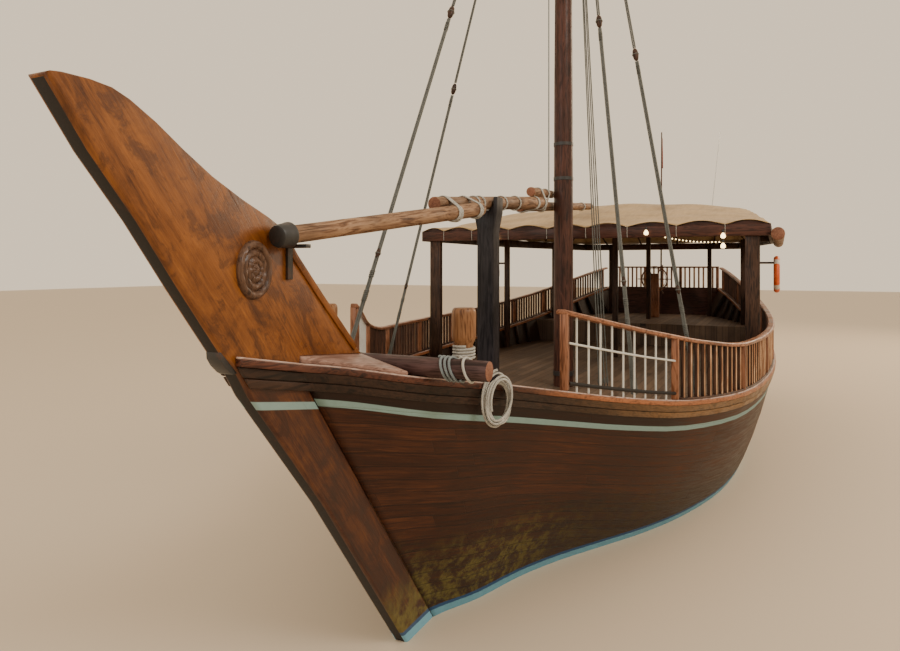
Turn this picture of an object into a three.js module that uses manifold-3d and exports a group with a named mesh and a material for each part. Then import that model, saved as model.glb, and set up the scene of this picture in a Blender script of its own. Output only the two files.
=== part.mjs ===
// A wooden dhow afloat. Millimetres, +X to the bow, +Y to port, +Z up, origin amidships at the waterline.
import * as THREE from 'three';
import * as BufferGeometryUtils from 'three/addons/utils/BufferGeometryUtils.js';
import Module from 'manifold-3d';

const wasm = await Module();
wasm.setup();

// Driving dimensions
const GAP = 0.3;
const DECK_Z = 1450;
const FOREDECK_Z = 1700;
const POOP_Z = 1950;
const FOREDECK_AFT_X = 4500;
const POOP_FORE_X = -3600;
const KEEL_Z = -1350;
const KEEL_HALF = 70;
const BULWARK_THICK = 65;
const CAP_THICK = 60;
const CAP_OUT = 30;
const CAP_IN = 45;
const WALE_DEPTH = 150;
const WALE_OUT = 28;
const MAST_X = 2000;
const MAST_TOP_Z = 12600;
const MAST_RADIUS = 142;
const MAST_TOP_RADIUS = 95;
const HOIST_Z = 12150;
const CRUTCH_X = 5030;
const CANOPY_FRONT_X = 1200;
const CANOPY_AFT_X = -7300;
const EAVE_Z = 3920;
const CROWN_Z = 4540;
const FASCIA_DEPTH = 170;
const FASCIA_THICK = 45;
const RAIL_HEIGHT = 590;
const STATION_STEPS = 3;

// Colours of the pieces
const PLANK = { color: 0x3b2a1e, roughness: 0.75 };
const DARK_WOOD = { color: 0x2a1a12, roughness: 0.7 };
const RAIL_WOOD = { color: 0x5a3a24, roughness: 0.6 };
const DECK_WOOD = { color: 0x8a7152, roughness: 0.8 };
const MAST_WOOD = { color: 0x4a2418, roughness: 0.55 };
const VARNISH = { color: 0x8b5a33, roughness: 0.45 };
const FABRIC = { color: 0xd8cdb4, roughness: 0.9 };
const ROPE = { color: 0xb9ad95, roughness: 0.95 };
const BLACK_PAINT = { color: 0x151413, roughness: 0.5 };
const BRONZE = { color: 0x8f7440, roughness: 0.4, metalness: 0.9 };
const ORANGE = { color: 0xd4581c, roughness: 0.5 };
const STEEL = { color: 0xb8b8b4, roughness: 0.3, metalness: 0.9 };
const FLAG_CLOTH = { color: 0x7c2430, roughness: 0.9 };

const group = new THREE.Group();

function addPiece(name, geometry, finish) {
  const material = new THREE.MeshStandardMaterial({ metalness: 0, ...finish });
  const mesh = new THREE.Mesh(geometry, material);
  mesh.name = name;
  group.add(mesh);
  return mesh;
}

// Solids from closed rings of points: each ring has the same count, listed the same way round.
function loft(rings) {
  const count = rings[0].length;
  const positions = [];
  const indices = [];
  rings.forEach((ring) => ring.forEach((point) => positions.push(point.x, point.y, point.z)));
  for (let r = 0; r + 1 < rings.length; r += 1) {
    for (let i = 0; i < count; i += 1) {
      const a = r * count + i;
      const b = r * count + ((i + 1) % count);
      indices.push(a, b, a + count);
      indices.push(b, b + count, a + count);
    }
  }
  capRing(rings[0], 0, indices, true);
  capRing(rings[rings.length - 1], (rings.length - 1) * count, indices, false);
  const geometry = new THREE.BufferGeometry();
  geometry.setAttribute('position', new THREE.Float32BufferAttribute(positions, 3));
  geometry.setIndex(indices);
  return outward(geometry);
}

function capRing(ring, offset, indices, flip) {
  const flat = flatten(ring);
  const faces = THREE.ShapeUtils.triangulateShape(flat.points, []);
  const turned = flip !== flat.reversed;
  faces.forEach(([a, b, c]) => {
    const face = turned ? [a, c, b] : [a, b, c];
    indices.push(...face.map((i) => offset + i));
  });
}

// A ring seen along its own normal, as flat points for the triangulation of its cap.
function flatten(ring) {
  const normal = new THREE.Vector3();
  ring.forEach((p, i) => {
    const q = ring[(i + 1) % ring.length];
    normal.x += (p.y - q.y) * (p.z + q.z);
    normal.y += (p.z - q.z) * (p.x + q.x);
    normal.z += (p.x - q.x) * (p.y + q.y);
  });
  normal.normalize();
  const side = Math.abs(normal.z) > 0.9 ? new THREE.Vector3(1, 0, 0) : new THREE.Vector3(0, 0, 1);
  const u = new THREE.Vector3().crossVectors(side, normal).normalize();
  const v = new THREE.Vector3().crossVectors(normal, u);
  const points = ring.map((p) => new THREE.Vector2(p.dot(u), p.dot(v)));
  return { points, reversed: THREE.ShapeUtils.isClockWise(points) };
}

// Turns a closed geometry inside out where its volume comes out negative.
function outward(geometry) {
  const p = geometry.getAttribute('position');
  const index = geometry.getIndex();
  const corner = (i) => new THREE.Vector3().fromBufferAttribute(p, index.getX(i));
  let volume = 0;
  for (let i = 0; i < index.count; i += 3) {
    volume += corner(i).dot(corner(i + 1).cross(corner(i + 2)));
  }
  if (volume < 0) {
    for (let i = 0; i < index.count; i += 3) {
      const first = index.getX(i);
      index.setX(i, index.getX(i + 1));
      index.setX(i + 1, first);
    }
  }
  return geometry;
}

function toSolid(geometry) {
  const bare = geometry.clone();
  bare.deleteAttribute('normal');
  bare.deleteAttribute('uv');
  const merged = BufferGeometryUtils.mergeVertices(bare, 0.001);
  return new wasm.Manifold(new wasm.Mesh({
    numProp: 3,
    vertProperties: new Float32Array(merged.getAttribute('position').array),
    triVerts: new Uint32Array(merged.getIndex().array),
  }));
}

function fromSolid(solid) {
  const mesh = solid.getMesh();
  const geometry = new THREE.BufferGeometry();
  geometry.setAttribute('position', new THREE.BufferAttribute(mesh.vertProperties, 3));
  geometry.setIndex(new THREE.BufferAttribute(mesh.triVerts, 1));
  return geometry;
}

function join(geometries) {
  return fromSolid(geometries.map(toSolid).reduce((whole, piece) => whole.add(piece)));
}

function box(x0, x1, y0, y1, z0, z1) {
  const geometry = new THREE.BoxGeometry(x1 - x0, y1 - y0, z1 - z0);
  geometry.translate((x0 + x1) / 2, (y0 + y1) / 2, (z0 + z1) / 2);
  return geometry;
}

// A round bar from one point to another, which may taper.
function bar(from, to, radius, endRadius = radius, sides = 12) {
  const axis = new THREE.Vector3().subVectors(to, from);
  const geometry = new THREE.CylinderGeometry(endRadius, radius, axis.length(), sides);
  geometry.translate(0, axis.length() / 2, 0);
  const turn = new THREE.Quaternion().setFromUnitVectors(new THREE.Vector3(0, 1, 0), axis.normalize());
  geometry.applyQuaternion(turn);
  geometry.translate(from.x, from.y, from.z);
  return geometry;
}

// A plate of an outline in the XZ plane, centred on y.
function sidePlate(outline, thickness, y = 0) {
  const shape = new THREE.Shape(outline.map(([x, z]) => new THREE.Vector2(x, z)));
  const geometry = new THREE.ExtrudeGeometry(shape, { depth: thickness, bevelEnabled: false });
  geometry.rotateX(Math.PI / 2);
  geometry.translate(0, y + thickness / 2, 0);
  return geometry;
}

// A plate of an outline in the YZ plane, from x to x plus its thickness.
function crossPlate(outline, x, thickness) {
  const shape = new THREE.Shape(outline.map(([y, z]) => new THREE.Vector2(y, z)));
  const geometry = new THREE.ExtrudeGeometry(shape, { depth: thickness, bevelEnabled: false });
  geometry.rotateX(Math.PI / 2);
  geometry.rotateZ(Math.PI / 2);
  geometry.translate(x, 0, 0);
  return geometry;
}

const at = (x, y, z) => new THREE.Vector3(x, y, z);

// Hull stations. Each leans from its place at the water to its place at the rail, so the first lies along
// the stem and the last along the transom. Fullness is the power of the height in the half breadth.
const STATIONS = [
  // waterX, railX, railHalf, railZ, keelZ, fullness
  [6507, 8484, 72, 2641, -1050, 1.0],
  [6330, 8200, 250, 2587, -1050, 0.76],
  [6000, 7600, 560, 2449, -1050, 0.62],
  [5400, 6800, 860, 2300, -1050, 0.53],
  [4800, 6000, 1200, 2130, -1050, 0.43],
  [4200, 5200, 1630, 1965, -1050, 0.374],
  [3500, 4300, 2120, 1825, -1050, 0.345],
  [2600, 3100, 2600, 1760, -1050, 0.33],
  [1500, 1700, 2840, 1760, -1050, 0.263],
  [0, 0, 2920, 1780, -1050, 0.21],
  [-2000, -2000, 2830, 1860, -1050, 0.19],
  [-4000, -4100, 2570, 2050, -1000, 0.236],
  [-5400, -5800, 2180, 2330, -800, 0.361],
  [-6400, -7050, 1830, 2560, -350, 0.545],
  [-6950, -7850, 1560, 2700, 200, 0.75],
];
const COLUMNS = ['waterX', 'railX', 'railHalf', 'railZ', 'keelZ', 'fullness'];

// The stations between the rows, by a smooth curve through each column.
function stationAt(u) {
  const last = STATIONS.length - 1;
  const row = Math.min(Math.floor(u), last - 1);
  const f = u - row;
  const station = {};
  COLUMNS.forEach((name, c) => {
    const p1 = STATIONS[row][c];
    const p2 = STATIONS[row + 1][c];
    const p0 = row > 0 ? STATIONS[row - 1][c] : 2 * p1 - p2;
    const p3 = row + 2 <= last ? STATIONS[row + 2][c] : 2 * p2 - p1;
    const a = 2 * p1;
    const b = (p2 - p0) * f;
    const d = (2 * p0 - 5 * p1 + 4 * p2 - p3) * f * f;
    const e = (3 * p1 - p0 - 3 * p2 + p3) * f * f * f;
    station[name] = (a + b + d + e) / 2;
  });
  station.topZ = station.railZ - CAP_THICK;
  return station;
}

const SMOOTH = [];
for (let i = 0; i <= (STATIONS.length - 1) * STATION_STEPS; i += 1) {
  SMOOTH.push(stationAt(i / STATION_STEPS));
}

function stationX(s, z) {
  return s.waterX + ((s.railX - s.waterX) * z) / s.topZ;
}

function halfBreadth(s, z) {
  const height = Math.max(0, (z - s.keelZ) / (s.topZ - s.keelZ));
  return KEEL_HALF + (s.railHalf - KEEL_HALF) * height ** s.fullness;
}

// Value of a quantity of the stations at a place along the hull, read at a height.
function readAt(x, z, quantity) {
  for (let i = 0; i + 1 < SMOOTH.length; i += 1) {
    const x0 = stationX(SMOOTH[i], z(SMOOTH[i]));
    const x1 = stationX(SMOOTH[i + 1], z(SMOOTH[i + 1]));
    if (x <= x0 && x >= x1) {
      const f = (x0 - x) / (x0 - x1);
      return quantity(SMOOTH[i]) * (1 - f) + quantity(SMOOTH[i + 1]) * f;
    }
  }
  throw new Error(`no station at ${x}`);
}

const atTop = (s) => s.topZ;
const insideAt = (x, z) => readAt(x, () => z, (s) => innerChord(s, z) - BULWARK_THICK);
const railHalfAt = (x) => readAt(x, atTop, (s) => s.railHalf);
const railZAt = (x) => readAt(x, atTop, (s) => s.railZ);
const keelZAt = (x) => readAt(x, (s) => s.keelZ, (s) => s.keelZ);

// Hull body up to the main deck: both sides of each station, keel to deck edge.
const SIDE_POINTS = 11;
function hullRing(s) {
  const side = [];
  for (let i = 0; i <= SIDE_POINTS; i += 1) {
    const f = (i / SIDE_POINTS) ** 2;
    const z = s.keelZ + (DECK_Z - s.keelZ) * f;
    side.push([stationX(s, z), halfBreadth(s, z), z]);
  }
  const port = side.map(([x, y, z]) => at(x, y, z));
  const starboard = side.map(([x, y, z]) => at(x, -y, z)).reverse();
  return [...port, ...starboard];
}
addPiece('hull', loft(SMOOTH.map(hullRing)), PLANK);

// Bulwarks, cap rails and wales, mirrored about the centreline.
const SIDES = [['port', 1], ['starboard', -1]];
const CENTRE_CLEAR = 5;
const bulwarkBreaks = (s) => [DECK_Z + GAP, s.topZ - WALE_DEPTH, s.topZ - GAP];

function bulwarkRing(s, sign) {
  const levels = bulwarkBreaks(s);
  const outer = levels.map((z) => at(stationX(s, z), sign * halfBreadth(s, z), z));
  const inner = levels.map((z) => {
    const y = Math.max(halfBreadth(s, z) - BULWARK_THICK, CENTRE_CLEAR);
    return at(stationX(s, z), sign * y, z);
  });
  return [...outer, ...inner.reverse()];
}

function capRing4(s, sign) {
  const x = stationX(s, s.topZ);
  const y0 = Math.max(s.railHalf - BULWARK_THICK - CAP_IN, KEEL_HALF + GAP);
  const y1 = Math.max(s.railHalf + CAP_OUT, y0 + CAP_OUT * 2);
  const corners = [[y0, s.topZ], [y1, s.topZ], [y1, s.railZ], [y0, s.railZ]];
  return corners.map(([y, z]) => at(x, sign * y, z));
}

function waleRing(s, sign) {
  const [, low, high] = bulwarkBreaks(s);
  const inner = [low, high].map((z) => [z, halfBreadth(s, z) + GAP]);
  const outer = inner.map(([z, y]) => [z, y + WALE_OUT]).reverse();
  return [...inner, ...outer].map(([z, y]) => at(stationX(s, z), sign * y, z));
}

// The cap rails and wales run on over the sides of the stem to its leading edge.
const STEM_END = {
  waterX: 7033,
  railX: 9105,
  railHalf: KEEL_HALF + 2,
  railZ: 2762,
  topZ: 2762 - CAP_THICK,
  keelZ: -1050,
  fullness: 1,
};
const RAIL_STATIONS = [STEM_END, ...SMOOTH];
SIDES.forEach(([side, sign]) => {
  addPiece(`bulwark_${side}`, loft(SMOOTH.map((s) => bulwarkRing(s, sign))), PLANK);
  addPiece(`cap_rail_${side}`, loft(RAIL_STATIONS.map((s) => capRing4(s, sign))), RAIL_WOOD);
  addPiece(`wale_${side}`, loft(RAIL_STATIONS.map((s) => waleRing(s, sign))), DARK_WOOD);
});

// Raised decks between the bulwarks.
const DECK_CLEAR = 4;
function deckRing(x, s, top) {
  const low = DECK_Z + GAP;
  const clear = BULWARK_THICK + DECK_CLEAR;
  const points = [low, top].map((z) => {
    const chord = innerChord(s, z) - clear;
    return [x ?? stationX(s, z), Math.max(chord, CENTRE_CLEAR), z];
  });
  const port = points.map(([px, py, pz]) => at(px, py, pz));
  const starboard = points.map(([px, py, pz]) => at(px, -py, pz)).reverse();
  return [...port, ...starboard];
}

// Half breadth of the bulwark's outer face, which runs straight from the deck to the wale.
function innerChord(s, z) {
  const [low, high] = bulwarkBreaks(s);
  const f = (z - low) / (high - low);
  return halfBreadth(s, low) * (1 - f) + halfBreadth(s, high) * f;
}

const BOW_STATION = 3;
function foredeckRings() {
  const inside = SMOOTH.slice(BOW_STATION).filter((s) => stationX(s, DECK_Z) > FOREDECK_AFT_X);
  const aftU = SMOOTH.findIndex((s) => stationX(s, DECK_Z) <= FOREDECK_AFT_X);
  const end = SMOOTH[aftU];
  const rings = inside.map((s) => deckRing(undefined, s, FOREDECK_Z));
  const aft = { ...end, railHalf: SMOOTH[aftU - 1].railHalf };
  rings.push(deckRing(FOREDECK_AFT_X, aft, FOREDECK_Z));
  return rings;
}
addPiece('foredeck', loft(foredeckRings()), DECK_WOOD);

function poopRings() {
  const inside = SMOOTH.filter((s) => stationX(s, DECK_Z) < POOP_FORE_X);
  return inside.map((s) => deckRing(undefined, s, POOP_Z));
}
addPiece('poop_deck', loft(poopRings()), DECK_WOOD);

// Stem post with its long head, seen from the side.
const STEM_LEADING = [
  [5950, -1350], [6250, -960], [6600, -510], [7000, 0], [8190, 1580], [8955, 2490], [9050, 2640], [9200, 2800],
  [9490, 3170], [9760, 3530], [10030, 3850], [10255, 4170],
];
const STEM_UPPER = [
  [10160, 4186], [10030, 4188], [9910, 4176], [9810, 4140], [9650, 4055], [9470, 3940], [9260, 3818],
  [9020, 3707], [8790, 3616], [8660, 3554], [8590, 3468], [8511, 3374], [8246, 3112], [7873, 2757],
  [7792, 2684],
];
const STEM_FOOT_X = 5620;

// The cover over the bow is cambered, and the head of the stem stands on its crown.
const COVER_AFT_X = 7720;
const COVER_FORE_X = 8470;
const COVER_CROWN_Z = 2617;
const COVER_SLOPE = 0.0925;
const crownZ = (x) => COVER_CROWN_Z + (x - COVER_AFT_X) * COVER_SLOPE;
const bowStation = SMOOTH[0];
const rabbet = (z) => stationX(bowStation, z) + GAP;
const STEM_OUTLINE = [
  ...STEM_LEADING,
  ...STEM_UPPER,
  [COVER_AFT_X, crownZ(COVER_AFT_X) + GAP],
  [COVER_FORE_X + GAP, crownZ(COVER_FORE_X) + GAP],
  [rabbet(bowStation.topZ), bowStation.topZ],
  [rabbet(bowStation.keelZ), bowStation.keelZ - GAP],
  [STEM_FOOT_X, bowStation.keelZ - GAP],
  [STEM_FOOT_X, KEEL_Z],
];
addPiece('stem_post', sidePlate(STEM_OUTLINE, KEEL_HALF * 2), RAIL_WOOD);

// Keel and deadwood follow the underside of the hull and leave an opening for the propeller.
const sternStation = SMOOTH[SMOOTH.length - 1];
const sternX = (z) => stationX(sternStation, z);
const TRANSOM_THICK = 50;
const POST_DEPTH = 170;
const POST_TOP_Z = 1800;
const postFore = (z) => sternX(z) - TRANSOM_THICK - 2 * GAP;
const APERTURE_FORE_X = -6150;
const HEEL_TOP_Z = -1180;
function keelOutline() {
  const under = SMOOTH.filter((s) => {
    const x = stationX(s, s.keelZ);
    return x < STEM_FOOT_X - 60 && x > APERTURE_FORE_X;
  });
  const top = under.map((s) => [stationX(s, s.keelZ), s.keelZ - GAP]);
  return [
    [STEM_FOOT_X - 2 * GAP, KEEL_Z],
    [STEM_FOOT_X - 2 * GAP, top[0][1]],
    ...top,
    [APERTURE_FORE_X, keelZAt(APERTURE_FORE_X) - GAP],
    [APERTURE_FORE_X, HEEL_TOP_Z],
    [postFore(HEEL_TOP_Z) + GAP, HEEL_TOP_Z],
    [postFore(KEEL_Z) + GAP, KEEL_Z],
  ];
}
addPiece('keel', sidePlate(keelOutline(), KEEL_HALF * 2), DARK_WOOD);

// Stern post along the rake of the last station.
const RUDDER_CLEAR = 8;
const GUDGEON_HALF = 45;
const GUDGEONS = [1300, 300, -950];
const postAft = (z) => postFore(z) - POST_DEPTH;
const gudgeonOutline = GUDGEONS.flatMap((z) => [
  [postAft(z + GUDGEON_HALF), z + GUDGEON_HALF],
  [postAft(z + GUDGEON_HALF) - RUDDER_CLEAR + GAP, z + GUDGEON_HALF],
  [postAft(z - GUDGEON_HALF) - RUDDER_CLEAR + GAP, z - GUDGEON_HALF],
  [postAft(z - GUDGEON_HALF), z - GUDGEON_HALF],
]);
const STERN_POST_OUTLINE = [
  [postFore(KEEL_Z), KEEL_Z],
  [postFore(POST_TOP_Z), POST_TOP_Z],
  [postAft(POST_TOP_Z), POST_TOP_Z],
  ...gudgeonOutline,
  [postAft(KEEL_Z), KEEL_Z],
];
addPiece('stern_post', sidePlate(STERN_POST_OUTLINE, KEEL_HALF * 2), DARK_WOOD);

const TRANSOM_TALL = sternStation.railZ - sternStation.keelZ;
function transomRing(offset) {
  const side = [];
  for (let i = 0; i <= SIDE_POINTS; i += 1) {
    const z = sternStation.keelZ + TRANSOM_TALL * (i / SIDE_POINTS) ** 1.5;
    side.push([sternX(z) - offset, halfBreadth(sternStation, Math.min(z, sternStation.topZ)), z]);
  }
  return [
    ...side.map(([x, y, z]) => at(x, y, z)),
    ...side.map(([x, y, z]) => at(x, -y, z)).reverse(),
  ];
}
addPiece('transom', loft([transomRing(GAP), transomRing(TRANSOM_THICK)]), PLANK);

// Rudder on its raked axis behind the stern post, with a round nose that turns against the gudgeons.
const NOSE_RADIUS = 45;
const RUDDER_LOW_Z = -1300;
const RUDDER_TOP_Z = 2150;
const postRake = Math.atan2(postFore(KEEL_Z) - postFore(POST_TOP_Z), POST_TOP_Z - KEEL_Z);
const rudderAxisX = (z) => postAft(z) - RUDDER_CLEAR - NOSE_RADIUS / Math.cos(postRake);
const RUDDER_OUTLINE = [
  // distance aft of the axis, height
  [0, RUDDER_LOW_Z], [0, RUDDER_TOP_Z], [260, RUDDER_TOP_Z], [330, 900], [620, 100], [980, -700],
  [1000, RUDDER_LOW_Z],
].map(([aft, z]) => [rudderAxisX(z) - aft, z]);
const rudderNose = bar(
  at(rudderAxisX(RUDDER_LOW_Z), 0, RUDDER_LOW_Z), at(rudderAxisX(RUDDER_TOP_Z), 0, RUDDER_TOP_Z),
  NOSE_RADIUS, NOSE_RADIUS, 24);
addPiece('rudder', join([sidePlate(RUDDER_OUTLINE, NOSE_RADIUS * 2 - 10), rudderNose]), DARK_WOOD);

// Propeller and shaft.
const PROP_Z = -790;
const PROP_X = -6420;
const PROP_RADIUS = 300;
const HUB_RADIUS = 62;
const HUB_HALF = 90;
const SHAFT_RADIUS = 32;
const BLADES = 3;
const BLADE_RADIUS = PROP_RADIUS * 0.38;
const BLADE_THICK = 18;
const BLADE_OUT = PROP_RADIUS * 0.6;
const BLADE_PITCH = 0.5;
const hub = bar(
  at(PROP_X - HUB_HALF, 0, PROP_Z), at(PROP_X + HUB_HALF, 0, PROP_Z), HUB_RADIUS * 0.8, HUB_RADIUS, 16);
const blades = [];
for (let i = 0; i < BLADES; i += 1) {
  const blade = new THREE.CylinderGeometry(BLADE_RADIUS, BLADE_RADIUS, BLADE_THICK, 16);
  blade.scale(1.2, 1, 0.8);
  blade.rotateX(Math.PI / 2);
  blade.rotateY(Math.PI / 2);
  blade.rotateZ(BLADE_PITCH);
  blade.translate(0, 0, BLADE_OUT);
  blade.rotateX((i * 2 * Math.PI) / BLADES);
  blade.translate(PROP_X, 0, PROP_Z);
  blades.push(blade);
}
addPiece('propeller', join([hub, ...blades]), BRONZE);
addPiece('propeller_shaft', bar(
  at(PROP_X + HUB_HALF + GAP, 0, PROP_Z), at(APERTURE_FORE_X - GAP, 0, PROP_Z), SHAFT_RADIUS), STEEL);

// Cambered bow cover, which lies on the cap rails.
const COVER_EDGE = 30;
const COVER_INSET = 15;
const CROWN_HALF_Y = KEEL_HALF + 6;
function coverRings() {
  const inside = SMOOTH.map((s) => s.railX).filter((x) => x > COVER_AFT_X && x < COVER_FORE_X);
  return [COVER_FORE_X, ...inside, COVER_AFT_X].map((x) => {
    const half = Math.max(railHalfAt(x) - COVER_INSET, CROWN_HALF_Y + 2);
    const low = railZAt(x) + GAP;
    const port = [at(x, half, low), at(x, half, low + COVER_EDGE), at(x, CROWN_HALF_Y, crownZ(x))];
    const starboard = port.map((p) => at(p.x, -p.y, p.z)).reverse();
    return [...port, ...starboard];
  });
}
addPiece('bow_cover', loft(coverRings()), RAIL_WOOD);

// Log across the rails, and two bollards.
const LOG_X = 7550;
const LOG_RADIUS = 80;
const LOG_HALF = 1080;
const LOG_LIFT = 1.0125;
const LOG_Z = railZAt(LOG_X) + LOG_RADIUS * LOG_LIFT;
const logEnds = [-LOG_HALF, LOG_HALF].map((y) => at(LOG_X, y, LOG_Z));
addPiece('cross_log', bar(...logEnds, LOG_RADIUS, LOG_RADIUS, 20), VARNISH);

const BOLLARD_X = 7150;
const BOLLARD_TOP_Z = 2960;
const BOLLARD_RADIUS = 75;
const BOLLARD_HEAD_RADIUS = 100;
const BOLLARD_HEAD_TALL = 230;
const BOLLARD_SHOULDER = 60;
const BOLLARD_CROWN = 40;
const BOLLARD_EASE = 15;
const BOLLARD_INSET = 45;
SIDES.forEach(([side, sign]) => {
  const base = railZAt(BOLLARD_X + BOLLARD_RADIUS) + GAP;
  const head = BOLLARD_TOP_Z - BOLLARD_HEAD_TALL;
  const profile = [
    [0, base],
    [BOLLARD_RADIUS, base],
    [BOLLARD_RADIUS, head - BOLLARD_SHOULDER],
    [BOLLARD_HEAD_RADIUS, head],
    [BOLLARD_HEAD_RADIUS, BOLLARD_TOP_Z - BOLLARD_CROWN],
    [BOLLARD_HEAD_RADIUS - BOLLARD_EASE, BOLLARD_TOP_Z],
    [0, BOLLARD_TOP_Z],
  ].map(([r, z]) => new THREE.Vector2(r, z));
  const geometry = new THREE.LatheGeometry(profile, 16);
  geometry.rotateX(Math.PI / 2);
  geometry.translate(BOLLARD_X, sign * (railHalfAt(BOLLARD_X) - BOLLARD_INSET), 0);
  addPiece(`bollard_${side}`, geometry, VARNISH);
});

// Forked crutch that carries the lowered yard.
const CRUTCH_HALF = 100;
const CRUTCH_Y = 14;
const HORN_TOP_Z = 4080;
const NOTCH_Z = 3931;
const NOTCH_HALF = 90;
const CRUTCH_RIGHT = [
  [CRUTCH_HALF, FOREDECK_Z + GAP], [CRUTCH_HALF, 3700], [140, 3900], [145, HORN_TOP_Z],
  [NOTCH_HALF + 10, HORN_TOP_Z], [NOTCH_HALF, NOTCH_Z + 50], [50, NOTCH_Z],
];
const CRUTCH_OUTLINE = [
  ...CRUTCH_RIGHT.map(([y, z]) => [CRUTCH_Y + y, z]),
  ...CRUTCH_RIGHT.map(([y, z]) => [CRUTCH_Y - y, z]).reverse(),
];
addPiece('crutch_post', crossPlate(CRUTCH_OUTLINE, CRUTCH_X - CRUTCH_HALF, CRUTCH_HALF * 2), MAST_WOOD);

// Mast and masthead block.
const MAST_FOOT_FLARE = 10;
const TAPER_Z = 6000;
const MAST_PROFILE = [
  [0, DECK_Z + GAP],
  [MAST_RADIUS + MAST_FOOT_FLARE, DECK_Z + GAP],
  [MAST_RADIUS, TAPER_Z],
  [MAST_TOP_RADIUS, MAST_TOP_Z],
  [0, MAST_TOP_Z],
].map(([r, z]) => new THREE.Vector2(r, z));
const mastGeometry = new THREE.LatheGeometry(MAST_PROFILE, 24);
mastGeometry.rotateX(Math.PI / 2);
mastGeometry.translate(MAST_X, 0, 0);
addPiece('mast', mastGeometry, MAST_WOOD);

const mastRadiusAt = (z) => {
  const taper = (z - TAPER_Z) / (MAST_TOP_Z - TAPER_Z);
  return MAST_RADIUS + (MAST_TOP_RADIUS - MAST_RADIUS) * taper;
};
const YARD_Y = -235;
const BLOCK_HALF_X = 60;
const BLOCK_OUT = 40;
const BLOCK_HALF_Z = 150;
const blockInner = -mastRadiusAt(HOIST_Z - BLOCK_HALF_Z) - GAP;
addPiece('masthead_block', box(
  MAST_X - BLOCK_HALF_X, MAST_X + BLOCK_HALF_X,
  YARD_Y - BLOCK_OUT, blockInner,
  HOIST_Z - BLOCK_HALF_Z, HOIST_Z + BLOCK_HALF_Z), DARK_WOOD);

// Yard of lashed spars, lowered onto the crutch. The fore spar lies along the port side of the middle spar,
// the aft spar along its starboard side, and the top chock over the lashing of the two.
const SPARS = [
  // name, from (x, y, z), to (x, y, z), radius at each end
  ['yard_fore_spar', [8700, 160, 3500], [5650, 178.9, 3896.3], 60, 76],
  ['yard_middle_spar', [6500, 75, 3886], [2780, -80.5, 4215], 68, 90],
  ['yard_aft_spar', [3300, YARD_Y, 4125], [-560, YARD_Y, 4432], 73, 62],
  ['yard_top_chock', [3350, -62, 4319], [1850, YARD_Y, 4429], 65, 60],
];
const spars = {};
SPARS.forEach(([name, from, to, r0, r1]) => {
  spars[name] = { from: at(...from), to: at(...to) };
  addPiece(name, bar(at(...from), at(...to), r0, r1, 14), RAIL_WOOD);
});

// Halyard from the yard to its block at the masthead.
const HALYARD_RADIUS = 14;
const SLING_Z = 4479.4;
addPiece('halyard', bar(
  at(MAST_X, YARD_Y, SLING_Z), at(MAST_X, YARD_Y, HOIST_Z - BLOCK_HALF_Z - GAP),
  HALYARD_RADIUS, HALYARD_RADIUS, 8), ROPE);

// Shrouds with their lower ends on the cap rail.
const SHROUD_RADIUS = 15;
const SHROUD_INSET = 95;
const SHROUDS = [
  // name, foot x, side, head x, head y, head z
  ['shroud_port_fore', 5000, 1, 2095, 75, 12300],
  ['shroud_port_aft', 4000, 1, 2045, 112, 12100],
  ['shroud_starboard_fore', 6750, -1, 2078, -205, 12250],
  ['shroud_starboard_aft', 3100, -1, 2060, -105, 12520],
];

// Least height of a shroud's lower rim over the cap rail.
function rimHeight(shroud, foot) {
  const places = shroud.getAttribute('position');
  const point = at(0, 0, 0);
  let least = Infinity;
  for (let i = 0; i < places.count; i += 1) {
    point.fromBufferAttribute(places, i);
    if (point.distanceTo(foot) < SHROUD_RADIUS * 2) least = Math.min(least, point.z - railZAt(point.x));
  }
  return least;
}

SHROUDS.forEach(([name, x, sign, hx, hy, hz]) => {
  const foot = at(x, sign * (railHalfAt(x) - SHROUD_INSET), railZAt(x) + SHROUD_RADIUS);
  const head = at(hx, hy, hz);
  const shroud = () => bar(foot, head, SHROUD_RADIUS, SHROUD_RADIUS, 8);
  foot.z += GAP - rimHeight(shroud(), foot);
  addPiece(name, shroud(), ROPE);
});

// Carved rosettes on the head of the stem.
const ROSETTE = { x: 8927, z: 3275, halfWide: 150, halfTall: 185, proud: 40 };
SIDES.forEach(([side, sign]) => {
  const profile = [
    [0, 0], [1, 0], [1, 0.5], [0.86, 0.8], [0.7, 0.55], [0.55, 0.85], [0.4, 0.6], [0.3, 1], [0, 1],
  ];
  const points = profile.map(([r, h]) => new THREE.Vector2(r, h));
  const geometry = new THREE.LatheGeometry(points, 28);
  geometry.scale(ROSETTE.halfWide, ROSETTE.proud, ROSETTE.halfTall);
  if (sign < 0) geometry.rotateZ(Math.PI);
  geometry.translate(ROSETTE.x, sign * (KEEL_HALF + GAP), ROSETTE.z);
  addPiece(`rosette_${side}`, geometry, DARK_WOOD);
});

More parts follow.
